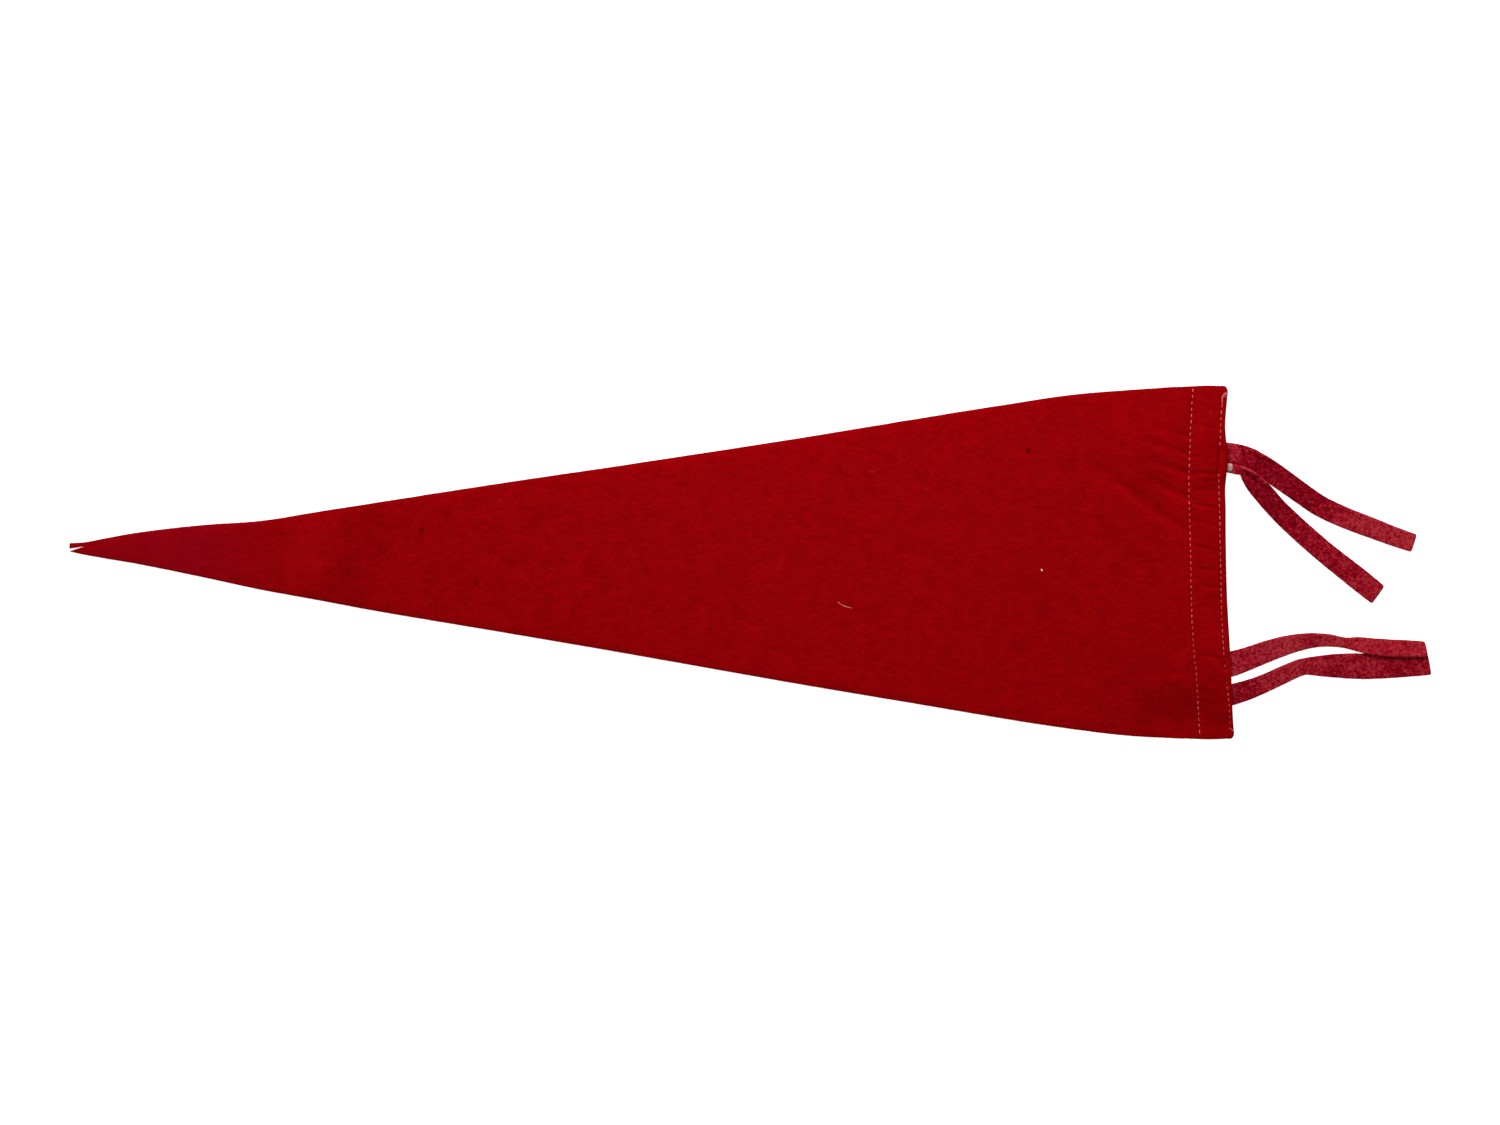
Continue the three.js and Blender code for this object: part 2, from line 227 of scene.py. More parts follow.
# %% The outline
# x, y of the top edge, y of the bottom edge
SIDES = [
    (-374.4, 10.7, 6.1),
    (-366.0, 11.2, 4.2),
    (-354.0, 13.5, 2.1),
    (-335.0, 16.8, -1.2),
    (-302.0, 20.6, -7.9),
    (-269.0, 23.0, -15.0),
    (-236.0, 28.2, -21.0),
    (-203.0, 33.4, -27.2),
    (-137.0, 43.7, -38.3),
    (-71.0, 53.4, -49.6),
    (28.0, 68.6, -67.1),
    (94.0, 79.5, -78.2),
    (143.0, 87.3, -86.5),
    (176.0, 92.2, -91.5),
    (209.0, 95.0, -95.4),
    (242.0, 96.9, -96.9),
    (254.0, 97.3, -97.2),
    (267.0, 96.5, -96.6),
]
# y, x of the folded edge of the header
HEADER = [
    (-97.0, 266.5),
    (-82.0, 265.3),
    (-65.0, 264.7),
    (-41.0, 263.5),
    (-16.0, 262.3),
    (12.0, 261.7),
    (30.0, 261.6),
    (41.0, 261.4),
    (57.0, 262.5),
    (74.0, 261.3),
    (89.0, 262.3),
    (97.0, 263.1),
]
top_edge = curve_through(SIDES, 0, 1)
bottom_edge = curve_through(SIDES, 0, 2)
header_edge = curve_through(HEADER, 0, 1)
print("header", round(float(top_edge(262) - bottom_edge(262)), 1), "mm long")

# %% [markdown]
# ## How the felt lies
#
# Felt that has been rolled up and pinned to a wall doesn't lie quite flat. Near the tip
# it keeps an old fold, and near the header two rises leave a slanting trough between
# them. Each of those is a low oval mound. The sleeve climbs on to its own turned-under
# layer, and it rides higher still where the ties are sewn in below it.

# %% Main folds
TIP_X = -374.4
HEADER_MIDDLE_X = 262.0
HEM_DEPTH = 22.0
HEM_FLAT = HEM_DEPTH + 1.0  # how far in from the fold the face lies on the hem
HEM_SLOPE = 13.0  # and how long its way down to the table is
TURN_RADIUS = 0.8  # of the fold, at the middle of the felt's thickness
OUTER_RADIUS = TURN_RADIUS + CLOTH_THICKNESS / 2
CORNER_RADIUS = 2.8
TIE_LIFT = 1.3
TIE_LIFT_FLAT = 10.0  # how far in from the fold the ties lift the hem
TIE_LIFT_SLOPE = 7.0

# x, y, half length, half width, turn of the long axis in degrees, height
SWELLS = [
    (-231, 3, 75, 34, 97, 2.5),
    (108, -40, 55, 12, 93, 0.7),
    (222, 62, 48, 27, -32, 1.1),
    (188, 8, 48, 30, -20, -0.15),
    (214, -40, 54, 34, 10, 0.9),
    (200, 24, 90, 96, 0, 0.55),
]
EDGE_RISE = 0.30  # how far the felt rises from its cut edges, and over what distance
EDGE_REACH = 6.0
# Where the hem rides over the ties: lower and upper y of the flat top, and the slopes
TIE_HUMPS = [(49.6, 66.6, 8, 18), (-65.2, -48.6, 6, 18), (-81.6, -67.4, 10, 6)]
FACE_SHARE = 0.75  # how much of that lift reaches the face, because the sewing presses it


def fold_centre_x(up):
    """x of the middle of the folded edge's round, at a y, drawn in at the two corners."""
    ends = np.minimum(up - bottom_edge(HEADER_MIDDLE_X), top_edge(HEADER_MIDDLE_X) - up)
    inset = np.clip(CORNER_RADIUS - ends, 0, CORNER_RADIUS)
    drawn_in = CORNER_RADIUS - np.sqrt(CORNER_RADIUS**2 - inset**2)
    return header_edge(up) - OUTER_RADIUS - drawn_in


def swell_height(x, y):
    """The height of all the mounds together."""
    height = np.zeros_like(x)
    for middle_x, middle_y, long, wide, turn, high in SWELLS:
        cos, sin = math.cos(math.radians(turn)), math.sin(math.radians(turn))
        along = ((x - middle_x) * cos + (y - middle_y) * sin) / long
        across = ((y - middle_y) * cos - (x - middle_x) * sin) / wide
        reach = np.minimum(np.hypot(along, across), 1)
        height += high * (0.5 + 0.5 * np.cos(math.pi * reach))
    return height


def tie_lift(x, y, fold_x):
    """How far the hem is lifted by the ties under it."""
    along = plateau(np.maximum(0, fold_x - x), TIE_LIFT_FLAT, TIE_LIFT_SLOPE)
    across = []
    for low, high, slope_below, slope_above in TIE_HUMPS:
        outside = np.where(y < low, (low - y) / slope_below, (y - high) / slope_above)
        across.append(plateau(outside, 0, 1) * (outside > 0) + (outside <= 0))
    return TIE_LIFT * along * np.max(across, axis=0)


def on_hem(x, fold_x):
    """1 where the face layer lies on its turned-under layer, 0 past the hem's raw edge."""
    return plateau(np.maximum(0, fold_x - x), HEM_FLAT, HEM_SLOPE)


print("highest swell", max(row[5] for row in SWELLS), "mm")

# %% [markdown]
# ## Creases and puckers
#
# Finer folds are soft ridges and troughs along short lines. Seen under the light, the
# slanting trough above the middle of the header is the strongest. Short puckers run into
# the inner row of stitches and across the sleeve, because the seam has drawn up a little.
# A line with a half width and a height, faded out at both ends, makes each of them.

# %% Creases as a short table
# x and y of one end, x and y of the other end, half width, height (troughs are negative)
CREASES = [
    # the slanting trough and the folds beside it
    (184, 57.0, 247, 11.7, 6.4, -0.62),
    (186, 55.5, 248, 9.8, 3.2, -0.34),
    (179, 43, 203, 1, 4.2, -0.22),
    (206, 49.5, 238, 27.5, 3.2, 0.16),
    (219, 46.5, 246, 32.5, 3.2, -0.80),
    (217, 57, 247, 47, 2.8, -0.66),
    (213, 68.5, 246, 57, 3.0, -0.62),
    (224, 63.5, 245, 55.5, 2.2, 0.22),
    (218, 75.3, 246, 67.8, 2.5, -0.46),
    (190, 71, 212, 59, 3.2, -0.26),
    (204, 82, 214, 74, 2.4, -0.20),
    (184, 44, 226, 18, 3.0, 0.08),
    # short puckers into the inner row, lower down
    (210, 10, 243, 8, 1.8, -0.20),
    (222, 4, 243, 2, 2.2, 0.14),
    (229, -51, 242, -46, 2.0, -0.34),
    (226, -62, 243, -60, 2.6, -0.26),
    (190, -70, 214, -67, 1.6, -0.22),
    (200, -84, 205, -86, 3.0, -0.20),
    # the arc below the trough
    (199, 16, 203, 3, 3.0, -0.22),
    (180, 34, 194, 14, 4.0, -0.30),
    (197, -17, 208, -28, 2.4, -0.20),
    (207, -27, 226, -34, 2.4, -0.20),
    # across the sleeve, between the rows
    (243, 76, 259, 73, 2.0, -0.26),
    (243, 66, 259, 65, 2.2, 0.10),
    (243, 58.5, 259, 57, 2.0, -0.10),
    (243, 49.5, 260, 48, 1.9, -0.46),
    (243, 43.5, 259, 42.5, 2.2, 0.16),
    (242, 40.5, 258, 38.5, 2.0, -0.22),
    (242, 32.5, 258, 29.5, 2.0, -0.32),
    (242, 26.5, 258, 25, 1.8, 0.10),
    (242, 23, 258, 20, 2.0, -0.22),
    (243, 9.5, 258, 5.5, 1.8, -0.32),
    (243, 3.5, 258, 2, 1.6, 0.12),
    (243, -3.3, 259, -4.8, 1.8, -0.28),
    (243, -13, 259, -14, 2.2, -0.20),
    (244, -24, 259, -25, 2.2, -0.14),
    (245, -50, 260, -54, 2.2, -0.22),
    # old folds and pressed lines far from the header
    (-231, 27, -230, -21, 5.5, 0.50),
    (-225, 26, -223, -20, 5.0, -0.22),
    (-289, 12, -279, 17, 2.4, -0.14),
    (-280, 17, -273, 9, 2.4, -0.12),
    (-306, -2, -288, -7, 2.6, -0.10),
    (-330, 10, -329, 0, 2.4, -0.08),
    (-170, -1, -63, -1, 1.8, -0.10),
    (110, -16, 111, -60, 3.0, -0.14),
    (106, -14, 107, -58, 3.0, 0.12),
    (-75, 28, -62, 21, 2.2, -0.10),
    (163, -25, 160, -36, 2.6, -0.12),
    (149, -42, 146, -50, 2.6, -0.12),
]


def creases_at(x, y, table):
    """The sum of a table's ridges and troughs at points of the cloth."""
    height = np.zeros_like(x)
    for x1, y1, x2, y2, half, high in table:
        long = math.hypot(x2 - x1, y2 - y1)
        along = ((x - x1) * (x2 - x1) + (y - y1) * (y2 - y1)) / long**2
        across = ((y - y1) * (x2 - x1) - (x - x1) * (y2 - y1)) / long
        ends = np.clip(1 - (2 * np.abs(along - 0.5)) ** 3, 0, 1)
        profile = 0.5 + 0.5 * np.cos(math.pi * np.clip(across / half, -1, 1))
        height += high * profile * ends
    return height


def unevenness(x, y, size, seed):
    """Smooth lumps of about a size, from 0 to 1, the same on each run."""
    lumps = [noise.noise(Vector((u / size, v / size, seed))) for u, v in zip(x, y)]
    return 0.5 + 0.5 * np.array(lumps)


print(len(CREASES), "creases and puckers")

# %% [markdown]
# ## The two rows of stitches, as lines
#
# The sleeve is sewn twice: one row beside the raw edge inside it, and one just short of
# the fold. Each row pulls the face down into a groove and draws the layers behind it up.
# Beside the ties the outer row has sunk so deep into the face that its thread is hidden.
# The stitches are a little closer together towards the bottom of the header.

# %% Rows of stitches
# y, x of each row
INNER_ROW = [
    (-97.0, 247.3),
    (-73.0, 246.0),
    (-60.4, 245.1),
    (-47.7, 243.9),
    (-32.3, 243.0),
    (-15.8, 242.5),
    (3.4, 242.2),
    (27.1, 241.6),
    (40.8, 241.2),
    (55.1, 241.5),
    (69.2, 242.0),
    (83.2, 242.7),
    (97.0, 243.6),
]
OUTER_ROW = [
    (-97.0, 263.9),
    (-89.2, 263.7),
    (-79.6, 263.4),
    (-72.5, 262.7),
    (-64.2, 261.8),
    (-49.4, 260.3),
    (-42.2, 259.9),
    (-29.0, 259.3),
    (-16.4, 259.0),
    (3.4, 258.6),
    (27.1, 258.1),
    (37.5, 257.8),
    (48.0, 257.6),
    (62.8, 258.1),
    (72.2, 258.6),
    (83.2, 259.1),
    (97.0, 260.3),
]
inner_row = curve_through(INNER_ROW, 0, 1)
outer_row = curve_through(OUTER_ROW, 0, 1)
# y of the first stitch, and the y past which a row ends
INNER_ENDS = (94.6, -87.5)
OUTER_ENDS = (85.9, -88.0)
PITCH_AT_TOP = 3.5
PITCH_AT_BOTTOM = 3.08
PITCH_SPAN = 184.0  # how far below the first stitch the bottom pitch is reached


def stitch_places(first_y, last_y):
    """y of each stitch of a row, from the top of the header down."""
    places = [first_y]
    while places[-1] > last_y:
        share = (INNER_ENDS[0] - places[-1]) / PITCH_SPAN
        places.append(places[-1] - (PITCH_AT_TOP + (PITCH_AT_BOTTOM - PITCH_AT_TOP) * share))
    return np.array(places)


inner_stitches = stitch_places(*INNER_ENDS)
outer_stitches = stitch_places(*OUTER_ENDS)
print(len(inner_stitches), "inner and", len(outer_stitches), "outer stitches")

# %% [markdown]
# A seam in felt shows more by its shape than by its thread. The thread lies in a shallow
# groove, a pit marks each hole of the needle, and the felt is pressed thinner below it.

# %% Grooves and needle holes
SUNK = [(48.6, 62.2), (-67.5, -51.5)]  # stretches of the outer row that lie hidden
SUNK_SLOPE = 4.0  # each stretch begins and ends over this length
INNER_GROOVE_HALF = 1.9
OUTER_GROOVE_HALF = 1.7
GROOVE_DEPTH = 0.18
SUNK_DEPTH = 0.62  # added where the outer row lies hidden
HOLE_RADIUS = 0.66
HOLE_DEPTH = 0.42
SQUEEZE = 0.30  # share of the thickness that the thread presses out
SQUEEZE_HALF = 1.3
BACK_GROOVE = 0.28  # how far the rows draw the turned-under layer up from the table
BACK_GROOVE_HALF = 1.6


def sunk_at(y):
    """1 where the outer row is hidden between its layers."""
    stretches = []
    for low, high in SUNK:
        half = (high - low) / 2 - SUNK_SLOPE / 2
        stretches.append(plateau(y - (low + high) / 2, half, SUNK_SLOPE))
    return np.max(stretches, axis=0)


def seam_pull(x, y):
    """How far the two rows draw the face of the felt down, with a pit at each needle hole."""
    rows = (
        (inner_row, inner_stitches, INNER_GROOVE_HALF),
        (outer_row, outer_stitches, OUTER_GROOVE_HALF),
    )
    pull = np.zeros_like(x)
    for row, stitches, half in rows:
        away = np.abs(x - row(y))
        groove = 0.5 + 0.5 * np.cos(math.pi * np.clip(away / half, 0, 1))
        holes = (stitches[:-1] + stitches[1:]) / 2
        nearest = np.abs(y[:, None] - holes[None, :]).min(axis=1)
        pit = np.exp(-((nearest / HOLE_RADIUS) ** 2) - (away / HOLE_RADIUS) ** 2)
        deeper = sunk_at(y) if row is outer_row else 0
        pull += groove * (GROOVE_DEPTH + SUNK_DEPTH * deeper) + pit * HOLE_DEPTH * (1 - deeper)
    return pull


def beside_seam(x, y, half):
    """1 along both rows, 0 past a distance from them."""
    away = np.minimum(np.abs(x - inner_row(y)), np.abs(x - outer_row(y)))
    return 0.5 + 0.5 * np.cos(math.pi * np.clip(away / half, 0, 1))


def seam_squeeze(x, y):
    """How much of its thickness the felt keeps under the thread."""
    return 1 - SQUEEZE * beside_seam(x, y, SQUEEZE_HALF)


print("needle holes", 2 * HOLE_RADIUS, "mm wide")

# %% [markdown]
# ## The pennant's one piece of felt
#
# The real one is a single cut of felt, so the model is a single sheet too. A flat grid is
# made first: its columns run from the tip, over the folded edge and back under as the
# hem, and its rows run up the header. A grid can be bent along any path by moving its
# points, which keeps every cell in its place. Near the stitches the cells are split
# again, because a needle hole is much smaller than a fold.

# %% Helpers for cut edges
EDGE_STEPS = [0.0, 0.15, 0.42, 0.85]  # distances from a cut edge
EDGE_THICKNESS = [0.38, 0.74, 0.93, 1.0]  # share of the thickness there
EDGE_BAND = EDGE_STEPS[-1]
EDGE_CELLS = len(EDGE_STEPS) - 1


def before_edge(length):
    """The fine steps of a grid that ends at a cut edge, except for the first of them."""
    return length - np.array(EDGE_STEPS[-2::-1])


def edge_thickness(count):
    """Share of the thickness at each of a number of places from one cut edge to the other."""
    full = np.ones(count - 2 * len(EDGE_THICKNESS))
    return np.concatenate([EDGE_THICKNESS, full, EDGE_THICKNESS[::-1]])


def rows_between_edges(cells):
    """Distance from the low edge, share of the width and thickness of each row of a grid."""
    middle = np.full(cells + 1 - 2 * len(EDGE_STEPS), EDGE_BAND)
    inset = np.concatenate([EDGE_STEPS, middle, 2 * EDGE_BAND - np.array(EDGE_STEPS[::-1])])
    share = np.clip((np.arange(cells + 1) - EDGE_CELLS) / (cells - 2 * EDGE_CELLS), 0, 1)
    return inset, share, edge_thickness(cells + 1)


print("cut edges are rounded over", EDGE_BAND, "mm")

# %% The grid of the pennant
FOLD_X = HEADER_MIDDLE_X - OUTER_RADIUS
# The x that each stretch of the face runs on to, and the length of its cells
ALONG_SPANS = [
    (-350, 1.1),
    (-220, 3.2),
    (60, 4.0),
    (120, 3.0),
    (150, 2.2),
    (236, 1.5),
    (FOLD_X, 0.55),
]
TURN_CELLS = 8
UNDER_SPANS = [(HEM_DEPTH - EDGE_BAND, 1.5)]
ROWS_UP = 62
FINE_FROM_X = 110.0
SEAM_FROM_X = 237.0

face_x = places_along(TIP_X + EDGE_BAND, ALONG_SPANS)
face_x = np.concatenate([TIP_X + np.array(EDGE_STEPS[:-1]), face_x])
under_in = np.concatenate([places_along(0, UNDER_SPANS)[1:], before_edge(HEM_DEPTH)])
turn = np.radians(np.linspace(0, 180, TURN_CELLS + 1)[1:])

columns = len(face_x) + len(turn) + len(under_in)
column_x = np.concatenate([face_x, np.full(columns - len(face_x), FOLD_X)])
column_angle = np.concatenate([np.zeros(len(face_x)), turn, np.full(len(under_in), math.pi)])
column_in = np.concatenate([np.zeros(columns - len(under_in)), under_in])
column_edge = edge_thickness(columns)
row_number = np.arange(ROWS_UP + 1)
row_inset, row_share, row_edge = rows_between_edges(ROWS_UP)

bm = bmesh.new()
bmesh.ops.create_grid(bm, x_segments=columns - 1, y_segments=ROWS_UP, size=0.5)
bmesh.ops.scale(bm, verts=bm.verts, vec=(columns - 1, ROWS_UP, 1))
bmesh.ops.translate(bm, verts=bm.verts, vec=((columns - 1) / 2, ROWS_UP / 2, 0))


def split_rows(bm, first_column, last_column, cuts):
    """Splits the cells between two columns into finer rows."""
    edges = [
        edge
        for edge in bm.edges
        if abs(edge.verts[0].co.x - edge.verts[1].co.x) < 0.5
        and first_column - 0.5 < edge.verts[0].co.x < last_column + 0.5
    ]
    bmesh.ops.subdivide_edges(bm, edges=edges, cuts=cuts, use_grid_fill=True)


def column_at(x):
    """The first column of the face that lies past an x."""
    return int(np.searchsorted(face_x, x))


split_rows(bm, column_at(FINE_FROM_X), len(face_x) + TURN_CELLS - 1, 1)
split_rows(bm, column_at(SEAM_FROM_X), len(face_x) + TURN_CELLS // 2 - 1, 2)
print("grid of", columns, "columns, split to", len(bm.faces), "cells")

# %% [markdown]
# Now each point of the flat grid moves to its place. Its column says how far along the
# path it is, and its row says how far up the header. Small lumps of felt are added to the
# height, and the cut edges wander by a tenth of a millimetre, as a cut with shears does.

# %% Bend the grid along its path
CUT_WANDER = 0.16
SMALL_LUMPS = 0.10
LARGE_LUMPS = 0.12
DEEPEST = 0.5  # a crease goes no deeper into the sleeve, to stay clear of the hem
DEEPEST_SUNK = 0.4  # and this much deeper where the outer row lies hidden

grid_x = np.array([vert.co.x for vert in bm.verts])
grid_y = np.array([vert.co.y for vert in bm.verts])
col = np.clip(np.rint(grid_x).astype(int), 0, columns - 1)
inset = np.interp(grid_y, row_number, row_inset)
share = np.interp(grid_y, row_number, row_share)


def height_up(x):
    """y of every grid point, once its x is known."""
    low = bottom_edge(x)
    high = top_edge(x)
    wander = CUT_WANDER * (unevenness(x, share * 0, 7.0, 3.1) - 0.5)
    wander_top = CUT_WANDER * (unevenness(x, share * 0, 9.0, 8.4) - 0.5)
    across = share * (high - low - 2 * EDGE_BAND)
    return low + inset + across + (1 - share) * wander + share * wander_top


fold_x = fold_centre_x(height_up(np.full(len(col), HEADER_MIDDLE_X)))
x = TIP_X + (fold_x - TIP_X) * (column_x[col] - TIP_X) / (FOLD_X - TIP_X)
x = x + TURN_RADIUS * np.sin(column_angle[col]) - column_in[col]
y = height_up(x)

facing_up = (1 + np.cos(column_angle[col])) / 2
flat = 1 - on_hem(x, fold_x)
lumps = SMALL_LUMPS * unevenness(x, y * 1.3, 6.5, 1.7) + LARGE_LUMPS * unevenness(x, y, 15.0, 4.2)
relief = creases_at(x, y, CREASES) - seam_pull(x, y) + lumps
from_edge = np.clip(np.minimum(y - bottom_edge(x), top_edge(x) - y) / EDGE_REACH, 0, 1)
rise = EDGE_RISE * from_edge * (2 - from_edge)
room_below = swell_height(x, y) * flat + rise + 2 * TURN_RADIUS * (1 - flat)
lowest = np.where(flat > 0.02, -room_below, -DEEPEST - DEEPEST_SUNK * sunk_at(y))
relief = np.maximum(relief, lowest)
z = tie_lift(x, y, fold_x) * (1 - (1 - FACE_SHARE) * facing_up)
z = z + CLOTH_THICKNESS / 2 + 2 * TURN_RADIUS * on_hem(x, fold_x) * facing_up
z = z + (swell_height(x, y) * flat + rise + relief) * facing_up
z = z + BACK_GROOVE * beside_seam(x, y, BACK_GROOVE_HALF) * (1 - facing_up)
thickness_share = column_edge[col] * np.interp(grid_y, row_number, row_edge)
in_turn = column_angle[col] * (math.pi - column_angle[col]) > 0.3
thickness_share = thickness_share * np.where(in_turn, 1, seam_squeeze(x, y))

thickness_layer = bm.verts.layers.deform.verify()
for vert, place, thick in zip(bm.verts, np.stack([x, y, z], axis=1) * MM, thickness_share):
    vert.co = place
    vert[thickness_layer][0] = float(thick)
print("cloth from", round(z.min(), 2), "to", round(z.max(), 2), "mm high")

# %% [markdown]
# The tip of the real one is torn: a sliver of felt has parted from the point. Two cuts
# that meet at the end of the tear and the cells between them taken away make the slit.
# Solidify then gives the sheet the thickness of felt, thinner along the cut edges and
# under the thread, which rounds the rims a little.

# %% Tear the tip and give the felt its thickness
SLIT_END = (-366.2, 8.8)
SLIT_MOUTH_X = -376.0
SLIT_MOUTH_TOP = 7.35
SLIT_MOUTH_BOTTOM = 5.75
LIP_THICKNESS = 0.5  # share of the felt's thickness along the torn lips
WELD = 0.004  # points closer than this are made one


def cut_along(bm, start, direction, reach):
    """Cuts the cells left of a place along an upright plane."""
    faces = [face for face in bm.faces if face.calc_center_median().x < reach * MM]
    geometry = faces + list({edge for face in faces for edge in face.edges})
    geometry = geometry + list({vert for face in faces for vert in face.verts})
    across = Vector((-direction[1], direction[0], 0)).normalized()
    bmesh.ops.bisect_plane(
        bm, geom=geometry, dist=1e-7, plane_co=(start[0] * MM, start[1] * MM, 0), plane_no=across
    )


cut_along(bm, SLIT_END, (0, 1), SLIT_END[0] + 2)
for mouth_y in (SLIT_MOUTH_TOP, SLIT_MOUTH_BOTTOM):
    cut_along(bm, SLIT_END, (SLIT_MOUTH_X - SLIT_END[0], mouth_y - SLIT_END[1]), SLIT_END[0])


def in_slit(face):
    """Whether a face lies between the two cuts."""
    centre = face.calc_center_median() / MM
    reach = (centre.x - SLIT_END[0]) / (SLIT_MOUTH_X - SLIT_END[0])
    upper = SLIT_END[1] + (SLIT_MOUTH_TOP - SLIT_END[1]) * reach
    lower = SLIT_END[1] + (SLIT_MOUTH_BOTTOM - SLIT_END[1]) * reach
    return reach > 0 and lower < centre.y < upper


bmesh.ops.delete(bm, geom=[face for face in bm.faces if in_slit(face)], context="FACES")
bmesh.ops.remove_doubles(bm, verts=bm.verts, dist=WELD * MM)
for vert in bm.verts:
    if vert.is_boundary and vert.co.x < (SLIT_END[0] + 0.1) * MM:
        vert[thickness_layer][0] = min(vert[thickness_layer][0], LIP_THICKNESS)
print("cloth sheet of", len(bm.faces), "cells")

# %% [markdown]
# ## Red felt
#
# Felt is wool fibres matted together, so it has no weave. Close up it is a tangle of
# short hairs, a little longer one way, and from further off it is mottled where the web
# was thicker or the dye took better. Three sizes of noise on the object's own
# coordinates give that: hairs, small clouds and large clouds. It has no shine at all,
# only the soft glow of loose fibres at its edges, which is what sheen is for.

# %% Helpers for felt materials
def linear(red, green, blue):
    """A screen colour from 0 to 255 as the linear colour that a shader takes."""
    shares = [value / 255 for value in (red, green, blue)]
    return [v / 12.92 if v <= 0.04045 else ((v + 0.055) / 1.055) ** 2.4 for v in shares] + [1.0]


def stretched(tree, source, scale):
    """Coordinates scaled differently along the three axes, so that noise forms streaks."""
    mapping = tree.nodes.new("ShaderNodeMapping")
    mapping.inputs["Scale"].default_value = scale
    tree.links.new(source, mapping.inputs["Vector"])
    return mapping.outputs["Vector"]


def place_on(tree):
    """The object's own coordinates, in metres."""
    return tree.nodes.new("ShaderNodeTexCoord").outputs["Object"]


def attribute_of(tree, name):
    """A value that the mesh carries at each of its points."""
    node = tree.nodes.new("ShaderNodeAttribute")
    node.attribute_name = name
    return node.outputs["Fac"]


def noise_of(tree, vector, per_metre, detail, roughness):
    """Noise with about so many clouds to the metre."""
    texture = tree.nodes.new("ShaderNodeTexNoise")
    texture.inputs["Scale"].default_value = per_metre
    texture.inputs["Detail"].default_value = detail
    texture.inputs["Roughness"].default_value = roughness
    tree.links.new(vector, texture.inputs["Vector"])
    return texture.outputs["Fac"]


print("a middle red from the screen is", [round(value, 3) for value in linear(140, 0, 5)])

# %% [markdown]
# Noise alone is grey. Sums weigh several sizes of it against each other, a soft threshold
# picks out flecks and stains, and a mix turns the result into colour.

# %% Helpers that combine values and colours
def math_node(tree, operation, first, second):
    """One sum on two values, each a socket or a plain number."""
    node = tree.nodes.new("ShaderNodeMath")
    node.operation = operation
    for socket, value in zip(node.inputs, (first, second)):
        if isinstance(value, (int, float)):
            socket.default_value = value
        else:
            tree.links.new(value, socket)
    return node.outputs[0]


def weighted(tree, parts):
    """The sum of a list of values, each with its weight."""
    total = None
    for value, weight in parts:
        part = math_node(tree, "MULTIPLY", value, weight)
        total = part if total is None else math_node(tree, "ADD", total, part)
    return total


def mixed(tree, factor, first, second):
    """Two colours mixed by a factor; each may be a socket or a plain value."""
    node = tree.nodes.new("ShaderNodeMix")
    node.data_type = "RGBA"
    sockets = (node.inputs[0], node.inputs[6], node.inputs[7])
    for socket, value in zip(sockets, (factor, first, second)):
        if isinstance(value, (int, float, list, tuple)):
            socket.default_value = value
        else:
            tree.links.new(value, socket)
    return node.outputs[2]


def between(tree, value, low, high):
    """0 below one value, 1 above another and smooth between, for flecks and stains."""
    node = tree.nodes.new("ShaderNodeMapRange")
    node.interpolation_type = "SMOOTHSTEP"
    node.inputs["From Min"].default_value = low
    node.inputs["From Max"].default_value = high
    tree.links.new(value, node.inputs["Value"])
    return node.outputs["Result"]


def bump_of(tree, shader, height, strength, distance):
    """Lets a height lean the light a little, for what is finer than the cells."""
    bump = tree.nodes.new("ShaderNodeBump")
    bump.inputs["Strength"].default_value = strength
    bump.inputs["Distance"].default_value = distance
    tree.links.new(height, bump.inputs["Height"])
    tree.links.new(bump.outputs["Normal"], shader.inputs["Normal"])


def matt_felt(shader, sheen, tint):
    """The settings that are the same all over a piece of felt."""
    shader.inputs["Roughness"].default_value = 1.0
    shader.inputs["Specular IOR Level"].default_value = 0.0
    shader.inputs["Sheen Weight"].default_value = sheen
    shader.inputs["Sheen Roughness"].default_value = 0.6
    shader.inputs["Sheen Tint"].default_value = tint


# %% [markdown]
# The clean felt comes first: the web between a deep and a bright red, then a few hairs
# that are darker or paler than the rest.

# %% Red felt, clean
DEEP_RED = linear(109, 0, 3)
BRIGHT_RED = linear(151, 2, 8)
DARK_HAIR = linear(78, 1, 4)
PALE_HAIR = linear(190, 40, 40)

red_felt, tree, shader = new_material("red_felt")
matt_felt(shader, 0.08, (0.9, 0.06, 0.06, 1.0))
place = place_on(tree)
along_x = stretched(tree, place, (0.45, 1.0, 1.0))

hairs = noise_of(tree, along_x, 2300, 4, 0.75)
small_clouds = noise_of(tree, along_x, 420, 3, 0.6)
large_clouds = noise_of(tree, place, 95, 2, 0.5)
web = weighted(tree, [(hairs, 0.66), (small_clouds, 0.24), (large_clouds, 0.10)])
colour = mixed(tree, between(tree, web, 0.32, 0.68), DEEP_RED, BRIGHT_RED)

dark_flecks = between(tree, noise_of(tree, along_x, 900, 2, 0.6), 0.66, 0.78)
colour = mixed(tree, math_node(tree, "MULTIPLY", dark_flecks, 0.35), colour, DARK_HAIR)
long_hairs = stretched(tree, place, (0.3, 1.0, 1.0))
pale_flecks = between(tree, noise_of(tree, long_hairs, 1500, 2, 0.6), 0.70, 0.80)
colour = mixed(tree, math_node(tree, "MULTIPLY", pale_flecks, 0.25), colour, PALE_HAIR)
print("clean felt of", len(tree.nodes), "nodes")
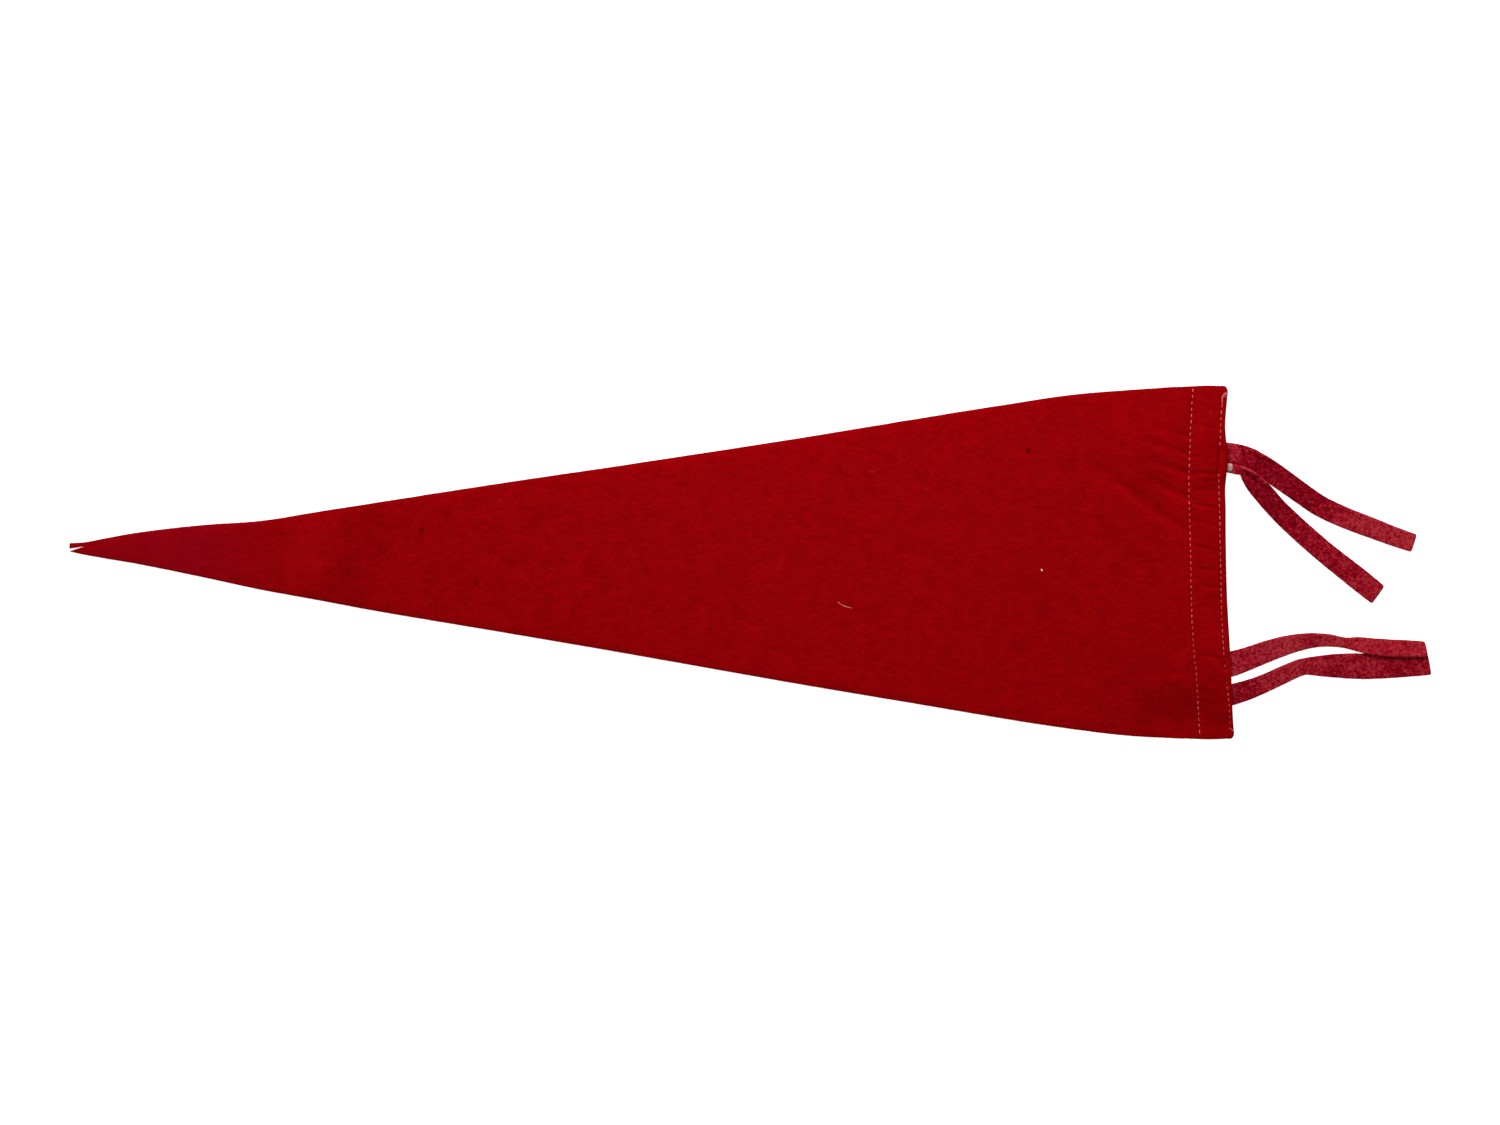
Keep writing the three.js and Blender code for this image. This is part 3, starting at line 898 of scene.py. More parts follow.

# %% [markdown]
# An old flag has been handled and rolled up, and a few small dark marks are where they are
# on the real one. Ovals with ragged edges make other places darker, paint shade beside
# the old fold and in two creases, and paint light on the lit side of that fold. Both are
# read from short tables, so that a place can be moved without touching the nodes.

# %% Darker places, painted shade and light, and dark marks
# x and y of the middle of each dark mark, its radius, and how much of its colour shows
DARK_MARKS = [
    (153.1, 61.4, 1.9, 0.80),
    (-180.6, 18.2, 1.8, 0.60),
    (-150.6, -11.2, 2.0, 0.45),
    (191.8, -26.6, 1.7, 0.40),
    (-20.0, 15.4, 1.7, 0.40),
    (-22.1, -36.6, 1.8, 0.40),
    (46.5, 0.5, 1.2, 0.40),
    (-60.0, 0.5, 1.4, 0.40),
]
# Darker places, painted shade beside the old fold and in creases, and painted light on the
# lit side of the old fold: x and y of the middle, half length, half width, share of the
# other colour, and that colour
DARKER_AND_SHADED_RED = linear(76, 1, 4)
PAINTED_LIGHT_RED = linear(170, 6, 14)
CRIMSON = linear(134, 3, 24)
TONE_SHADE_AND_LIGHT_PLACES = [
    (235.0, -78.0, 31.0, 14.0, 0.36, DARKER_AND_SHADED_RED),
    (248.0, -62.0, 11.0, 11.0, 0.16, DARKER_AND_SHADED_RED),
    (205.0, -87.0, 14.0, 7.0, 0.12, DARKER_AND_SHADED_RED),
    (254.0, 72.0, 9.0, 13.0, 0.10, DARKER_AND_SHADED_RED),
    (228.0, 50.0, 22.0, 15.0, 0.07, DARKER_AND_SHADED_RED),
    # painted shade in the two creases at these places
    (162.0, -28.0, 5.0, 6.0, 0.15, DARKER_AND_SHADED_RED),
    (148.0, -44.0, 7.0, 6.0, 0.12, DARKER_AND_SHADED_RED),
    # painted shade on the side of the old fold that turns from the light, in these two rows
    (-219.0, -14.0, 11.0, 16.0, 0.20, DARKER_AND_SHADED_RED),
    (-212.0, 14.0, 18.0, 24.0, 0.16, DARKER_AND_SHADED_RED),
    # painted light on the side of the old fold that faces the light
    (-246.0, 6.0, 14.0, 24.0, 0.20, PAINTED_LIGHT_RED),
    (-301.0, 6.0, 22.0, 16.0, 0.14, DARKER_AND_SHADED_RED),
    (-322.0, 6.0, 60.0, 30.0, 0.40, CRIMSON),
]
MARK_COLOUR = linear(60, 2, 5)
MARK_CORE = 0.9  # a mark starts to fade this far out
MARK_FRAY = 1.2  # how far the hairs can pull its edge in, which its reach makes up for

uneven = math_node(tree, "MULTIPLY", noise_of(tree, place, 130, 3, 0.6), 1.3)
# Each place mixes in its colour: a darker red, painted shade or painted light
for middle_x, middle_y, half_long, half_wide, strength, other in TONE_SHADE_AND_LIGHT_PLACES:
    shade_light_and_tone_patch = tree.nodes.new("ShaderNodeMapping")
    shade_light_and_tone_patch.vector_type = "TEXTURE"
    shade_light_and_tone_patch.inputs["Location"].default_value = (middle_x * MM, middle_y * MM, 0)
    shade_light_and_tone_patch.inputs["Scale"].default_value = (half_long * MM, half_wide * MM, 1)
    tree.links.new(place, shade_light_and_tone_patch.inputs["Vector"])
    spread = tree.nodes.new("ShaderNodeVectorMath")
    spread.operation = "LENGTH"
    tree.links.new(shade_light_and_tone_patch.outputs["Vector"], spread.inputs[0])
    ragged = math_node(tree, "ADD", spread.outputs["Value"], uneven)
    shade_light_and_tone_share = math_node(tree, "SUBTRACT", 1.0, between(tree, ragged, 0.95, 1.85))
    colour = mixed(tree, math_node(tree, "MULTIPLY", shade_light_and_tone_share, strength), colour, other)

for mark_x, mark_y, radius, share in DARK_MARKS:
    away = tree.nodes.new("ShaderNodeVectorMath")
    away.operation = "DISTANCE"
    away.inputs[1].default_value = (mark_x * MM, mark_y * MM, CLOTH_THICKNESS * MM)
    tree.links.new(place, away.inputs[0])
    frayed = math_node(tree, "MULTIPLY", hairs, MARK_FRAY * MM)
    ragged = math_node(tree, "ADD", away.outputs["Value"], frayed)
    outside = between(tree, ragged, MARK_CORE * MM, (radius + MARK_FRAY) * MM)
    inside = math_node(tree, "SUBTRACT", 1.0, outside)
    colour = mixed(tree, math_node(tree, "MULTIPLY", inside, share), colour, MARK_COLOUR)
tree.links.new(colour, shader.inputs["Base Color"])
bump_of(tree, shader, hairs, 0.5, 0.25 * MM)
print("red felt of", len(tree.nodes), "nodes")

# %% [markdown]
# The sheet becomes an object, and a modifier gives it the thickness of felt. It rides on
# the part's only body and takes the place of the solid cloth.

# %% The pennant as an object
felt_pennant = object_from(bm, "felt_pennant", red_felt)
felt_pennant.vertex_groups.new(name="thickness")


def thicken(piece, thickness):
    """Gives a sheet its thickness, thinner where its vertex group says so."""
    solid = piece.modifiers.new("felt_thickness", "SOLIDIFY")
    solid.thickness = thickness * MM
    solid.offset = 0.0
    solid.vertex_group = "thickness"
    solid.thickness_vertex_group = 0.0
    solid.use_rim = True


thicken(felt_pennant, CLOTH_THICKNESS)
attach(felt_pennant, "root")
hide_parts("pennant_cloth")

# %% [markdown]
# ## The four ties
#
# Each tie is a narrow strip of thinner felt, tucked in behind the folded edge and free
# at its other end. The strips have been knotted and untied for years, so they turn over,
# curl at their edges and have faded to pink where they were handled. Each follows its
# own middle line, with a width and a roll at each place: a roll tips the strip so that
# one long side stands up, which makes it look narrower from above.

# %% Middle lines of the ties
TIE_THICKNESS = 1.0
# x, y, width, roll in degrees, fading from 0 (deep red) to 1 (pale) with painted light and
# shade in it along the strips
TIE_LINES = {
    "tie_upper_long": [
        (254.3, 60.7, 11.0, 0, 0.50),
        (263.0, 60.45, 11.1, 0, 0.72),
        (272.4, 58.1, 11.9, 1, 0.25),
        (281.7, 53.1, 12.3, 2, -0.12),
        (290.8, 47.0, 12.2, 4, 0.30),
        (302.6, 38.6, 11.8, 2, 0.12),
        (313.5, 31.2, 11.7, 0, 0.22),
        (327.5, 24.6, 11.6, 0, 0.70),
        (341.3, 19.3, 11.3, 0, 0.82),
        (355.0, 14.1, 10.7, 0, 0.95),
        (365.6, 10.5, 10.3, 0, 1.00),
    ],
    "tie_upper_short": [
        (254.3, 52.2, 5.4, 0, 0.40),
        (263.0, 52.1, 5.4, 0, 0.45),
        (267.2, 51.2, 5.4, 2, 0.50),
        (271.0, 50.2, 5.3, 15, 0.25),
        (273.6, 47.7, 7.9, 13, 0.06),
        (276.4, 44.6, 9.8, 10, 0.10),
        (281.0, 39.6, 11.1, 7, 0.12),
        (291.2, 28.3, 11.5, 3, 0.13),
        (302.7, 17.4, 11.8, 0, 0.32),
        (316.0, 5.8, 11.9, 0, 0.40),
        (329.8, -5.2, 12.3, 0, 0.50),
        (339.0, -12.5, 12.4, 0, 0.58),
        (345.9, -18.0, 12.0, 0, 0.68),
    ],
    "tie_lower_top": [
        (256.6, -58.0, 13.8, 0, 0.45),
        (265.2, -55.7, 13.8, 0, 0.82),
        (274.9, -52.5, 12.7, 0, 0.62),
        (285.3, -48.6, 11.9, 3, 0.82),
        (297.1, -45.0, 10.4, 3, 1.04),
        (308.1, -43.0, 8.5, 4, 0.66),
        (318.0, -42.8, 7.1, 4, 0.90),
        (327.6, -44.2, 6.0, 0, 0.95),
        (334.0, -44.9, 8.1, -7, 0.74),
        (343.0, -46.3, 9.4, -7.5, 0.70),
        (352.0, -47.1, 9.8, -7.5, 0.70),
        (362.0, -47.4, 9.5, -7.5, 0.72),
        (372.9, -47.7, 8.7, -8, 0.92),
    ],
    "tie_lower_under": [
        (257.2, -75.2, 11.6, 0, 0.30),
        (265.6, -72.6, 11.6, 0, 0.42),
        (274.9, -69.7, 10.9, 0, 0.20),
        (283.2, -66.4, 10.2, 3, 0.78),
        (293.2, -61.8, 9.9, 5, 0.82),
        (301.4, -58.2, 9.5, 2, 0.90),
        (305.8, -57.1, 9.4, 0, 0.74),
        (312.4, -56.9, 11.2, 0, 0.60),
        (323.5, -56.8, 13.3, 0, 0.44),
        (336.7, -57.1, 14.2, 0, 0.54),
        (349.0, -57.2, 13.2, 0, 0.44),
        (361.5, -56.7, 12.5, 0, 0.42),
        (374.5, -55.9, 11.9, 0, 0.62),
    ],
}
# The same kind of table as the pennant's creases, for each tie
TIE_CREASES = {
    "tie_upper_long": [
        (271.8, 61.0, 271.2, 52.5, 1.3, -0.30),
        (274.2, 58.5, 278.4, 51.0, 2.2, 0.32),
        (279.4, 55.2, 281.0, 48.5, 1.5, -0.50),
        (274.0, 62.2, 289.5, 54.9, 1.3, 0.40),
        (289.0, 55.0, 305.0, 43.5, 1.0, 0.16),
        (262.5, 57.0, 270.5, 57.2, 1.2, -0.16),
        (284.0, 49.0, 296.0, 41.0, 2.6, -0.16),
    ],
    "tie_upper_short": [
        (269.8, 53.2, 279.6, 47.0, 1.8, 0.55),
        (277.5, 48.6, 289.5, 37.6, 1.7, 0.45),
        (270.5, 50.6, 284.0, 40.2, 1.6, -0.30),
        (271.0, 49.0, 275.0, 50.0, 0.9, 0.25),
        (287.0, 39.0, 300.0, 26.0, 1.1, 0.12),
    ],
    "tie_lower_top": [
        (323.5, -40.0, 331.5, -48.5, 1.4, -0.30),
        (300.0, -41.0, 322.0, -40.0, 1.6, 0.22),
        (338.0, -50.0, 366.0, -51.0, 1.3, 0.22),
    ],
    "tie_lower_under": [
        (305.5, -63.0, 304.0, -54.0, 1.4, -0.18),
        (283.0, -64.0, 300.0, -56.5, 1.2, -0.12),
    ],
}
# Where a tie is lighter or darker than beside it, mostly painted light on lit edges and
# ridges and painted shade in creases and shadows: the same kind of table again
TIE_LIGHT_SHADE_AND_WEAR = {
    "tie_upper_long": [
        (267.9, 63.5, 267.9, 56.5, 3.0, 0.50),
        (271.5, 62.5, 271.4, 54.5, 0.9, -0.35),
        (274.8, 58.0, 276.2, 52.0, 2.4, 0.30),
        (279.2, 55.0, 280.4, 49.0, 1.2, -0.40),
        (274.0, 63.4, 289.0, 56.2, 0.9, 0.55),
        (288.0, 56.8, 304.0, 45.2, 0.9, 0.45),
    ],
    "tie_upper_short": [
        (265.5, 52.6, 269.5, 52.4, 1.6, 0.25),
        (269.0, 53.6, 279.5, 48.4, 1.3, 0.95),
        (278.5, 49.0, 285.5, 42.8, 1.0, 0.75),
        (272.5, 49.2, 284.0, 40.6, 2.0, -0.20),
    ],
    "tie_lower_top": [
        (330.0, -45.5, 345.0, -43.5, 2.0, 0.15),
    ],
    "tie_lower_under": [
        (306.0, -63.0, 305.0, -52.0, 1.5, -0.30),
    ],
}
# How far each corner of the free end is cut back, upper corner then lower corner
TIE_ENDS = {
    "tie_upper_long": (0.3, 0.2),
    "tie_upper_short": (0.6, 0.0),
    "tie_lower_top": (1.7, 0.0),
    "tie_lower_under": (1.3, 0.0),
}
widths = [row[2] for line in TIE_LINES.values() for row in line]
print(len(TIE_LINES), "ties,", min(widths), "to", max(widths), "mm wide")

# %% [markdown]
# The felt of the ties is the same stuff as the pennant's, but worn. Its mottling is
# coarser and stronger: pale wool shows between the dyed fibres in small flecks, and more
# of it shows the more the strip has faded. How faded each place is, with light and shade
# painted into it, comes from the tables and is carried to the material as an attribute
# of the mesh.

# %% Felt of the ties
FRESH_RED = linear(90, 0, 8)
WORN_RED = linear(146, 7, 29)
FADED_PINK = linear(168, 50, 58)
PALE_WOOL = linear(200, 84, 84)
DARK_WOOL = linear(74, 3, 12)

tie_felt, tree, shader = new_material("tie_felt")
matt_felt(shader, 0.05, (0.9, 0.2, 0.2, 1.0))
place = place_on(tree)
fade_light_and_shade = attribute_of(tree, "fade_light_and_shade")

hairs = noise_of(tree, place, 2600, 4, 0.75)
flakes = noise_of(tree, place, 620, 3, 0.7)
patches = noise_of(tree, place, 240, 2, 0.5)
tufts = weighted(tree, [(flakes, 4.4), (hairs, 3.8), (patches, 1.0)])
# the fading attribute holds painted light and shade as well as the fading of the felt
wear_light_and_shade = math_node(tree, "ADD", math_node(tree, "SUBTRACT", tufts, 4.6), fade_light_and_shade)
shades = tree.nodes.new("ShaderNodeValToRGB")
wear_light_and_shade_share = math_node(tree, "MULTIPLY", math_node(tree, "ADD", wear_light_and_shade, 0.5), 0.5)
tree.links.new(wear_light_and_shade_share, shades.inputs["Fac"])
shades.color_ramp.elements[0].color = FRESH_RED
shades.color_ramp.elements[0].position = 0.10
shades.color_ramp.elements[1].color = FADED_PINK
shades.color_ramp.elements[1].position = 0.95
shades.color_ramp.elements.new(0.54).color = WORN_RED
colour = shades.outputs["Color"]
pale = between(tree, noise_of(tree, place, 1100, 2, 0.6), 0.62, 0.74)
pale = math_node(tree, "MULTIPLY", pale, math_node(tree, "ADD", fade_light_and_shade, 0.2))
colour = mixed(tree, math_node(tree, "MULTIPLY", pale, 0.32), colour, PALE_WOOL)
through_wool = stretched(tree, place, (1.0, 1.0, 3.0))
dark = between(tree, noise_of(tree, through_wool, 1200, 2, 0.6), 0.62, 0.74)
colour = mixed(tree, math_node(tree, "MULTIPLY", dark, 0.5), colour, DARK_WOOL)
tree.links.new(colour, shader.inputs["Base Color"])
bump_of(tree, shader, math_node(tree, "ADD", hairs, flakes), 0.55, 0.3 * MM)
print("tie felt of", len(tree.nodes), "nodes")

# %% [markdown]
# A tie starts as a flat grid too. Smooth curves along its middle line give the place,
# the width, the roll and the fading with its painted light and shade anywhere, and the
# free end gets its cut: two rounded corners, each set back by its own amount.

# %% Helpers for the ties
ACROSS_CELLS = 18
TIE_CELL = 0.75
CORNER_ROUND = 1.2
END_REACH = 8.0  # the cut of the free end fades out over this length
END_BOW = 1.4  # above 1, the cut bows instead of running straight


def tie_curves(line):
    """Runs along a middle line, and curves for x, y, width, roll and fading with painted light and
    shade.
    """
    steps = [math.dist(here[:2], there[:2]) for here, there in zip(line, line[1:])]
    runs = np.concatenate([[0], np.cumsum(steps)])
    table = [(run, *row) for run, row in zip(runs, line)]
    return runs, [curve_through(table, 0, column) for column in range(1, 6)]


def heading_of(x_at, y_at, run, step):
    """The direction of a middle line at a run along it."""
    return np.arctan2(y_at(run + step) - y_at(run - step), x_at(run + step) - x_at(run - step))


def end_cut(offset, width, end):
    """How far the free end is cut back at each distance from the middle line."""
    rounding = np.clip(CORNER_ROUND - (width / 2 - np.abs(offset)), 0, CORNER_ROUND)
    cut_back = CORNER_ROUND - np.sqrt(CORNER_ROUND**2 - rounding**2)
    cut_back += end[0] * np.clip(0.5 + offset / width, 0, 1) ** END_BOW
    cut_back += end[1] * np.clip(0.5 - offset / width, 0, 1) ** END_BOW
    return cut_back


print("a tie's free corners are rounded by", CORNER_ROUND, "mm")

# %% [markdown]
# Then each point of the grid moves to its place beside the middle line. A rolled strip
# stands on its lower long side, lumps and creases lift it, and it never sinks below the
# table. The fading, with its painted light and shade, and the thickness are stored on the
# points as they are placed.

# %% Make the ties
TIE_WANDER = 0.22
SMALL_TUFTS = 0.10
LARGE_TUFTS = 0.14
MOST_FADE_AND_LIGHT = 1.1


def tie_sheet(name, line, creases, light_shade_and_wear, end):
    """One strip of felt on its middle line, from the tucked end to the free one."""
    runs, (x_at, y_at, width_at, roll_at, fade_light_and_shade_at) = tie_curves(line)
    length = runs[-1]
    run = places_along(EDGE_BAND, [(length - EDGE_BAND, TIE_CELL)])
    run = np.concatenate([EDGE_STEPS[:-1], run, before_edge(length)])
    run_edge = edge_thickness(len(run))
    inset, share, edge = rows_between_edges(ACROSS_CELLS)

    bm = bmesh.new()
    bmesh.ops.create_grid(bm, x_segments=len(run) - 1, y_segments=ACROSS_CELLS, size=0.5)
    i = np.rint([(vert.co.x + 0.5) * (len(run) - 1) for vert in bm.verts]).astype(int)
    j = np.rint([(vert.co.y + 0.5) * ACROSS_CELLS for vert in bm.verts]).astype(int)
    width = width_at(run[i])
    offset = inset[j] + share[j] * (width - 2 * EDGE_BAND) - width / 2

    near_end = np.clip(1 - (length - run[i]) / END_REACH, 0, 1)
    at = run[i] - end_cut(offset, width, end) * near_end
    heading = heading_of(x_at, y_at, at, 0.05)
    last_heading = heading[i == i.max() - len(EDGE_STEPS)].mean()
    heading = np.where(at > length - 0.06, last_heading, heading)
    roll = np.radians(roll_at(at))

    wander = TIE_WANDER * (unevenness(at, offset * 0, 4.0, len(line)) - 0.5)
    side = offset * np.cos(roll) + np.sign(offset) * (wander * np.abs(2 * offset / width) ** 3)
    x = x_at(at) - np.sin(heading) * side
    y = y_at(at) + np.cos(heading) * side
    z = width / 2 * np.abs(np.sin(roll)) + TIE_THICKNESS / 2 * np.cos(roll) + offset * np.sin(roll)
    tufts = LARGE_TUFTS * unevenness(x, y, 2.6, 5.5) + SMALL_TUFTS * unevenness(x, y, 1.1, 9.1)
    z = np.maximum(z + creases_at(x, y, creases) + tufts, TIE_THICKNESS / 2)
    z = z + BACK_GROOVE * beside_seam(x, y, BACK_GROOVE_HALF)
    # fading from the middle line, plus painted light and shade from the tie's own table
    wear_light_and_shade = np.clip(fade_light_and_shade_at(at) + creases_at(x, y, light_shade_and_wear), 0, MOST_FADE_AND_LIGHT)

    fade_light_and_shade = bm.verts.layers.float.new("fade_light_and_shade")
    thickness = bm.verts.layers.deform.verify()
    places = np.stack([x, y, z], axis=1) * MM
    for vert, place, fade, thick in zip(bm.verts, places, wear_light_and_shade, run_edge[i] * edge[j]):
        vert.co = place
        vert[fade_light_and_shade] = float(fade)
        vert[thickness][0] = float(thick)
    piece = object_from(bm, "felt_" + name, tie_felt)
    piece.vertex_groups.new(name="thickness")
    thicken(piece, TIE_THICKNESS)
    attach(piece, "root")
    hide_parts(name)
    print(piece.name, round(length, 1), "mm long,", len(piece.data.polygons), "cells")
    return piece, length, float(np.mean(width))


ties = {}
for name, line in TIE_LINES.items():
    ties[name] = tie_sheet(name, line, TIE_CREASES[name], TIE_LIGHT_SHADE_AND_WEAR[name], TIE_ENDS[name])

# %% [markdown]
# ## The stitches
#
# The thread is cotton that was pale once and has taken up the red of the felt. Where its
# end is knotted it has turned grey instead. Diagonal bands, laid along each stitch by its
# own UV map, are painted light and shade of the twist of the ply: a lit and a shaded
# copy of each colour.

# %% Thread material
PLY_SHADE = linear(198, 74, 74)
PLY_LIGHT = linear(243, 146, 144)
REDDENED = linear(206, 46, 50)
GREY_SHADE = linear(150, 100, 98)
GREY_LIGHT = linear(198, 156, 152)

cotton_thread, tree, shader = new_material("cotton_thread")
matt_felt(shader, 0.2, (1.0, 0.9, 0.88, 1.0))
lay = tree.nodes.new("ShaderNodeUVMap")
lay.uv_map = "lay"
ply = tree.nodes.new("ShaderNodeTexWave")
ply.wave_type = "BANDS"
ply.bands_direction = "DIAGONAL"
ply.inputs["Scale"].default_value = 0.55
ply.inputs["Distortion"].default_value = 0.6
tree.links.new(lay.outputs["UV"], ply.inputs["Vector"])
# painted light and shade along the twist, between the shaded and the lit copy
ply_light_and_shade = between(tree, ply.outputs["Fac"], 0.05, 0.5)
colour = mixed(tree, ply_light_and_shade, PLY_SHADE, PLY_LIGHT)
colour = mixed(tree, attribute_of(tree, "soil"), colour, REDDENED)
grey_thread = mixed(tree, ply_light_and_shade, GREY_SHADE, GREY_LIGHT)
colour = mixed(tree, attribute_of(tree, "handled"), colour, grey_thread)
tree.links.new(colour, shader.inputs["Base Color"])
bump_of(tree, shader, ply.outputs["Fac"], 0.8, 0.12 * MM)
print("thread of", len(tree.nodes), "nodes")

# %% [markdown]
# Each machine stitch shows as a short plump dash that dives into the felt at both ends. A
# round grain, drawn out long and bent down at its ends, is enough, because there are more
# than two hundred of them. Each grain is turned to lie on the felt below it, which a ray
# cast from above or from below finds.

# %% One stitch
CLEAR_OF_FELT = 30.0  # a ray starts this far above or below the table
STITCH_LENGTH = 2.4
THREAD_WIDTH = 0.38
THREAD_HEIGHT = 0.40
END_DIP = 0.42  # how far each end of a stitch is drawn in


def surface_of(piece):
    """Finds the upper or the under surface of a piece at a place given in millimetres."""
    tree = BVHTree.FromObject(piece, bpy.context.evaluated_depsgraph_get())

    def at(x, y, from_above=True):
        side = 1 if from_above else -1
        start = Vector((x * MM, y * MM, side * CLEAR_OF_FELT * MM))
        hit, normal, _, _ = tree.ray_cast(start, Vector((0, 0, -side)))
        return hit, normal

    return at


bm = bmesh.new()
lay_layer = bm.loops.layers.uv.new("lay")
soil_layer = bm.verts.layers.float.new("soil")


def sew_stitch(place, up, heading, length, soil):
    """One plump dash of thread with its ends bent into the felt."""
    made = bmesh.ops.create_uvsphere(bm, u_segments=8, v_segments=8, radius=1.0)
    frame_z = up.normalized()
    frame_x = Vector((math.cos(heading), math.sin(heading), 0))
    frame_x = (frame_x - frame_z * frame_x.dot(frame_z)).normalized()
    frame_y = frame_z.cross(frame_x)
    flat_place = {}
    for vert in made["verts"]:
        t = vert.co.z
        fuller = math.sqrt(max(0.0, 1 - t**4) / max(1e-6, 1 - t**2)) if abs(t) < 0.999 else 0.0
        along = t * length / 2
        side = vert.co.x * fuller * THREAD_WIDTH / 2
        high = vert.co.y * fuller * THREAD_HEIGHT / 2 - END_DIP * abs(t) ** 3
        flat_place[vert] = (along, side)
        vert.co = place + (frame_x * along + frame_y * side + frame_z * high) * MM
        vert[soil_layer] = soil
    for face in {face for vert in made["verts"] for face in vert.link_faces}:
        for loop in face.loops:
            loop[lay_layer].uv = flat_place[loop.vert]


print("stitches", STITCH_LENGTH, "mm long in thread", THREAD_WIDTH, "mm wide")

# %% [markdown]
# Both rows are sewn on both sides, and no two stitches lie quite in line. At the back the
# thread lies on the tie where one is sewn in, as the needle goes through it too. On the
# face the outer row hardly shows beside the ties, and the thread is redder further down.

# %% Sew the rows
STITCH_WANDER = 0.10
STITCH_TURN = 4.0  # degrees either way, drawn at random
STITCH_ZIGZAG = 3.0  # degrees, one way and the other in turn
HIDDEN_FROM = 0.4  # share of the sunk depth from which a stitch may be hidden
SINK_ON_FACE = 0.02
SINK_ON_BACK = 0.06
NEEDLE_SHIFT = 0.2  # the stitches at the back lie this much lower than those on the face
LEAST_SOIL = 0.10
MOST_SOIL = 0.65
SOIL_PER_MM = 0.0027  # how fast the thread gets redder below the next y
SOIL_FROM_Y = 80.0

rng = random.Random(7)
cloth_at = surface_of(felt_pennant)
ties_at = [surface_of(piece) for piece, _, _ in ties.values()]


def sew_row(row, places, from_above):
    """Sews one row on one side; on the face, little or nothing shows where it has sunk."""
    count = 0
    for n, y in enumerate(places):
        sunk = sunk_at(np.array([y]))[0] if row is outer_row and from_above else 0
        if sunk > HIDDEN_FROM and (y > 0 or n % 3 == 0):
            continue
        x = float(row(y)) + rng.uniform(-STITCH_WANDER, STITCH_WANDER)
        surfaces = [cloth_at] if from_above else [cloth_at, *ties_at]
        hits = [at(x, y, from_above) for at in surfaces]
        hits = [found for found in hits if found[0] is not None]
        if not hits:
            continue
        hit, normal = min(hits, key=lambda found: found[0].z)
        up = normal if (normal.z > 0) == from_above else -normal
        slope = float(row(y + 1) - row(y - 1)) / 2
        turn = rng.uniform(-STITCH_TURN, STITCH_TURN) + (STITCH_ZIGZAG if n % 2 else -STITCH_ZIGZAG)
        heading = math.atan2(1, slope) + math.radians(turn)
        sink = SINK_ON_FACE if from_above else SINK_ON_BACK
        length = STITCH_LENGTH * rng.uniform(0.80, 1.10) * (1 - 0.5 * sunk)
        soil = min(1.0, rng.uniform(LEAST_SOIL, MOST_SOIL) + SOIL_PER_MM * (SOIL_FROM_Y - y))
        sew_stitch(hit - up.normalized() * sink * MM, up, heading, length, soil)
        count += 1
    return count


sewn = sew_row(inner_row, inner_stitches, True)
sewn += sew_row(outer_row, outer_stitches, True)
sewn += sew_row(inner_row, inner_stitches - NEEDLE_SHIFT, False)
sewn += sew_row(outer_row, outer_stitches - NEEDLE_SHIFT, False)

# One long stitch stands alone below the inner row
LAST_Y = -93.1
LAST_HEADING = 92.0  # degrees
LAST_LENGTH = 3.4
LAST_SOIL = 0.4
hit, normal = cloth_at(float(inner_row(LAST_Y)), LAST_Y)
sew_stitch(hit, normal, math.radians(LAST_HEADING), LAST_LENGTH, LAST_SOIL)
print(sewn + 1, "stitches")

# %% [markdown]
# At both corners of the header the outer row runs out over the folded edge: its last
# thread turns the corner and hooks round to the back. A curve with a round section
# follows that path, and its mesh joins the other stitches. Loose fibres, turns of the
# knot and lint will be made with the same helpers.

# %% Helpers for round strands
FINE_STRAND = 0.2  # below this thickness, four sides are enough


def lay_by_place(faces, layer):
    """Lets the ply run by the place of a thread that has no grain of its own."""
    for face in faces:
        for loop in face.loops:
            loop[layer].uv = (loop.vert.co.x / MM, loop.vert.co.y / MM * 2)


def curve_mesh(name, paths, thickness):
    """A mesh of round strands along paths, thinner at their two ends."""
    data = bpy.data.curves.new(name, "CURVE")
    data.dimensions = "3D"
    data.bevel_depth = thickness / 2 * MM
    data.bevel_resolution = 0 if thickness < FINE_STRAND else 2
    data.use_fill_caps = True
    for path in paths:
        strand = data.splines.new("POLY")
        strand.points.add(len(path) - 1)
        for k, (point, spot) in enumerate(zip(strand.points, path)):
            point.co = (*(spot * MM), 1.0)
            point.radius = 0.5 if k in (0, len(path) - 1) else 1.0
    strands = bpy.data.objects.new(name, data)
    bpy.context.scene.collection.objects.link(strands)
    bpy.context.view_layer.update()
    depsgraph = bpy.context.evaluated_depsgraph_get()
    mesh = bpy.data.meshes.new_from_object(strands.evaluated_get(depsgraph))
    bpy.data.objects.remove(strands)
    bpy.data.curves.remove(data)
    return mesh


def add_strands(bm, paths, thickness):
    """Joins round strands to a bmesh, and gives back the faces and points that came."""
    strands = curve_mesh("strands", paths, thickness)
    count = len(bm.faces)
    bm.from_mesh(strands)
    bpy.data.meshes.remove(strands)
    bm.faces.ensure_lookup_table()
    faces = bm.faces[count:]
    return faces, {vert for face in faces for vert in face.verts}


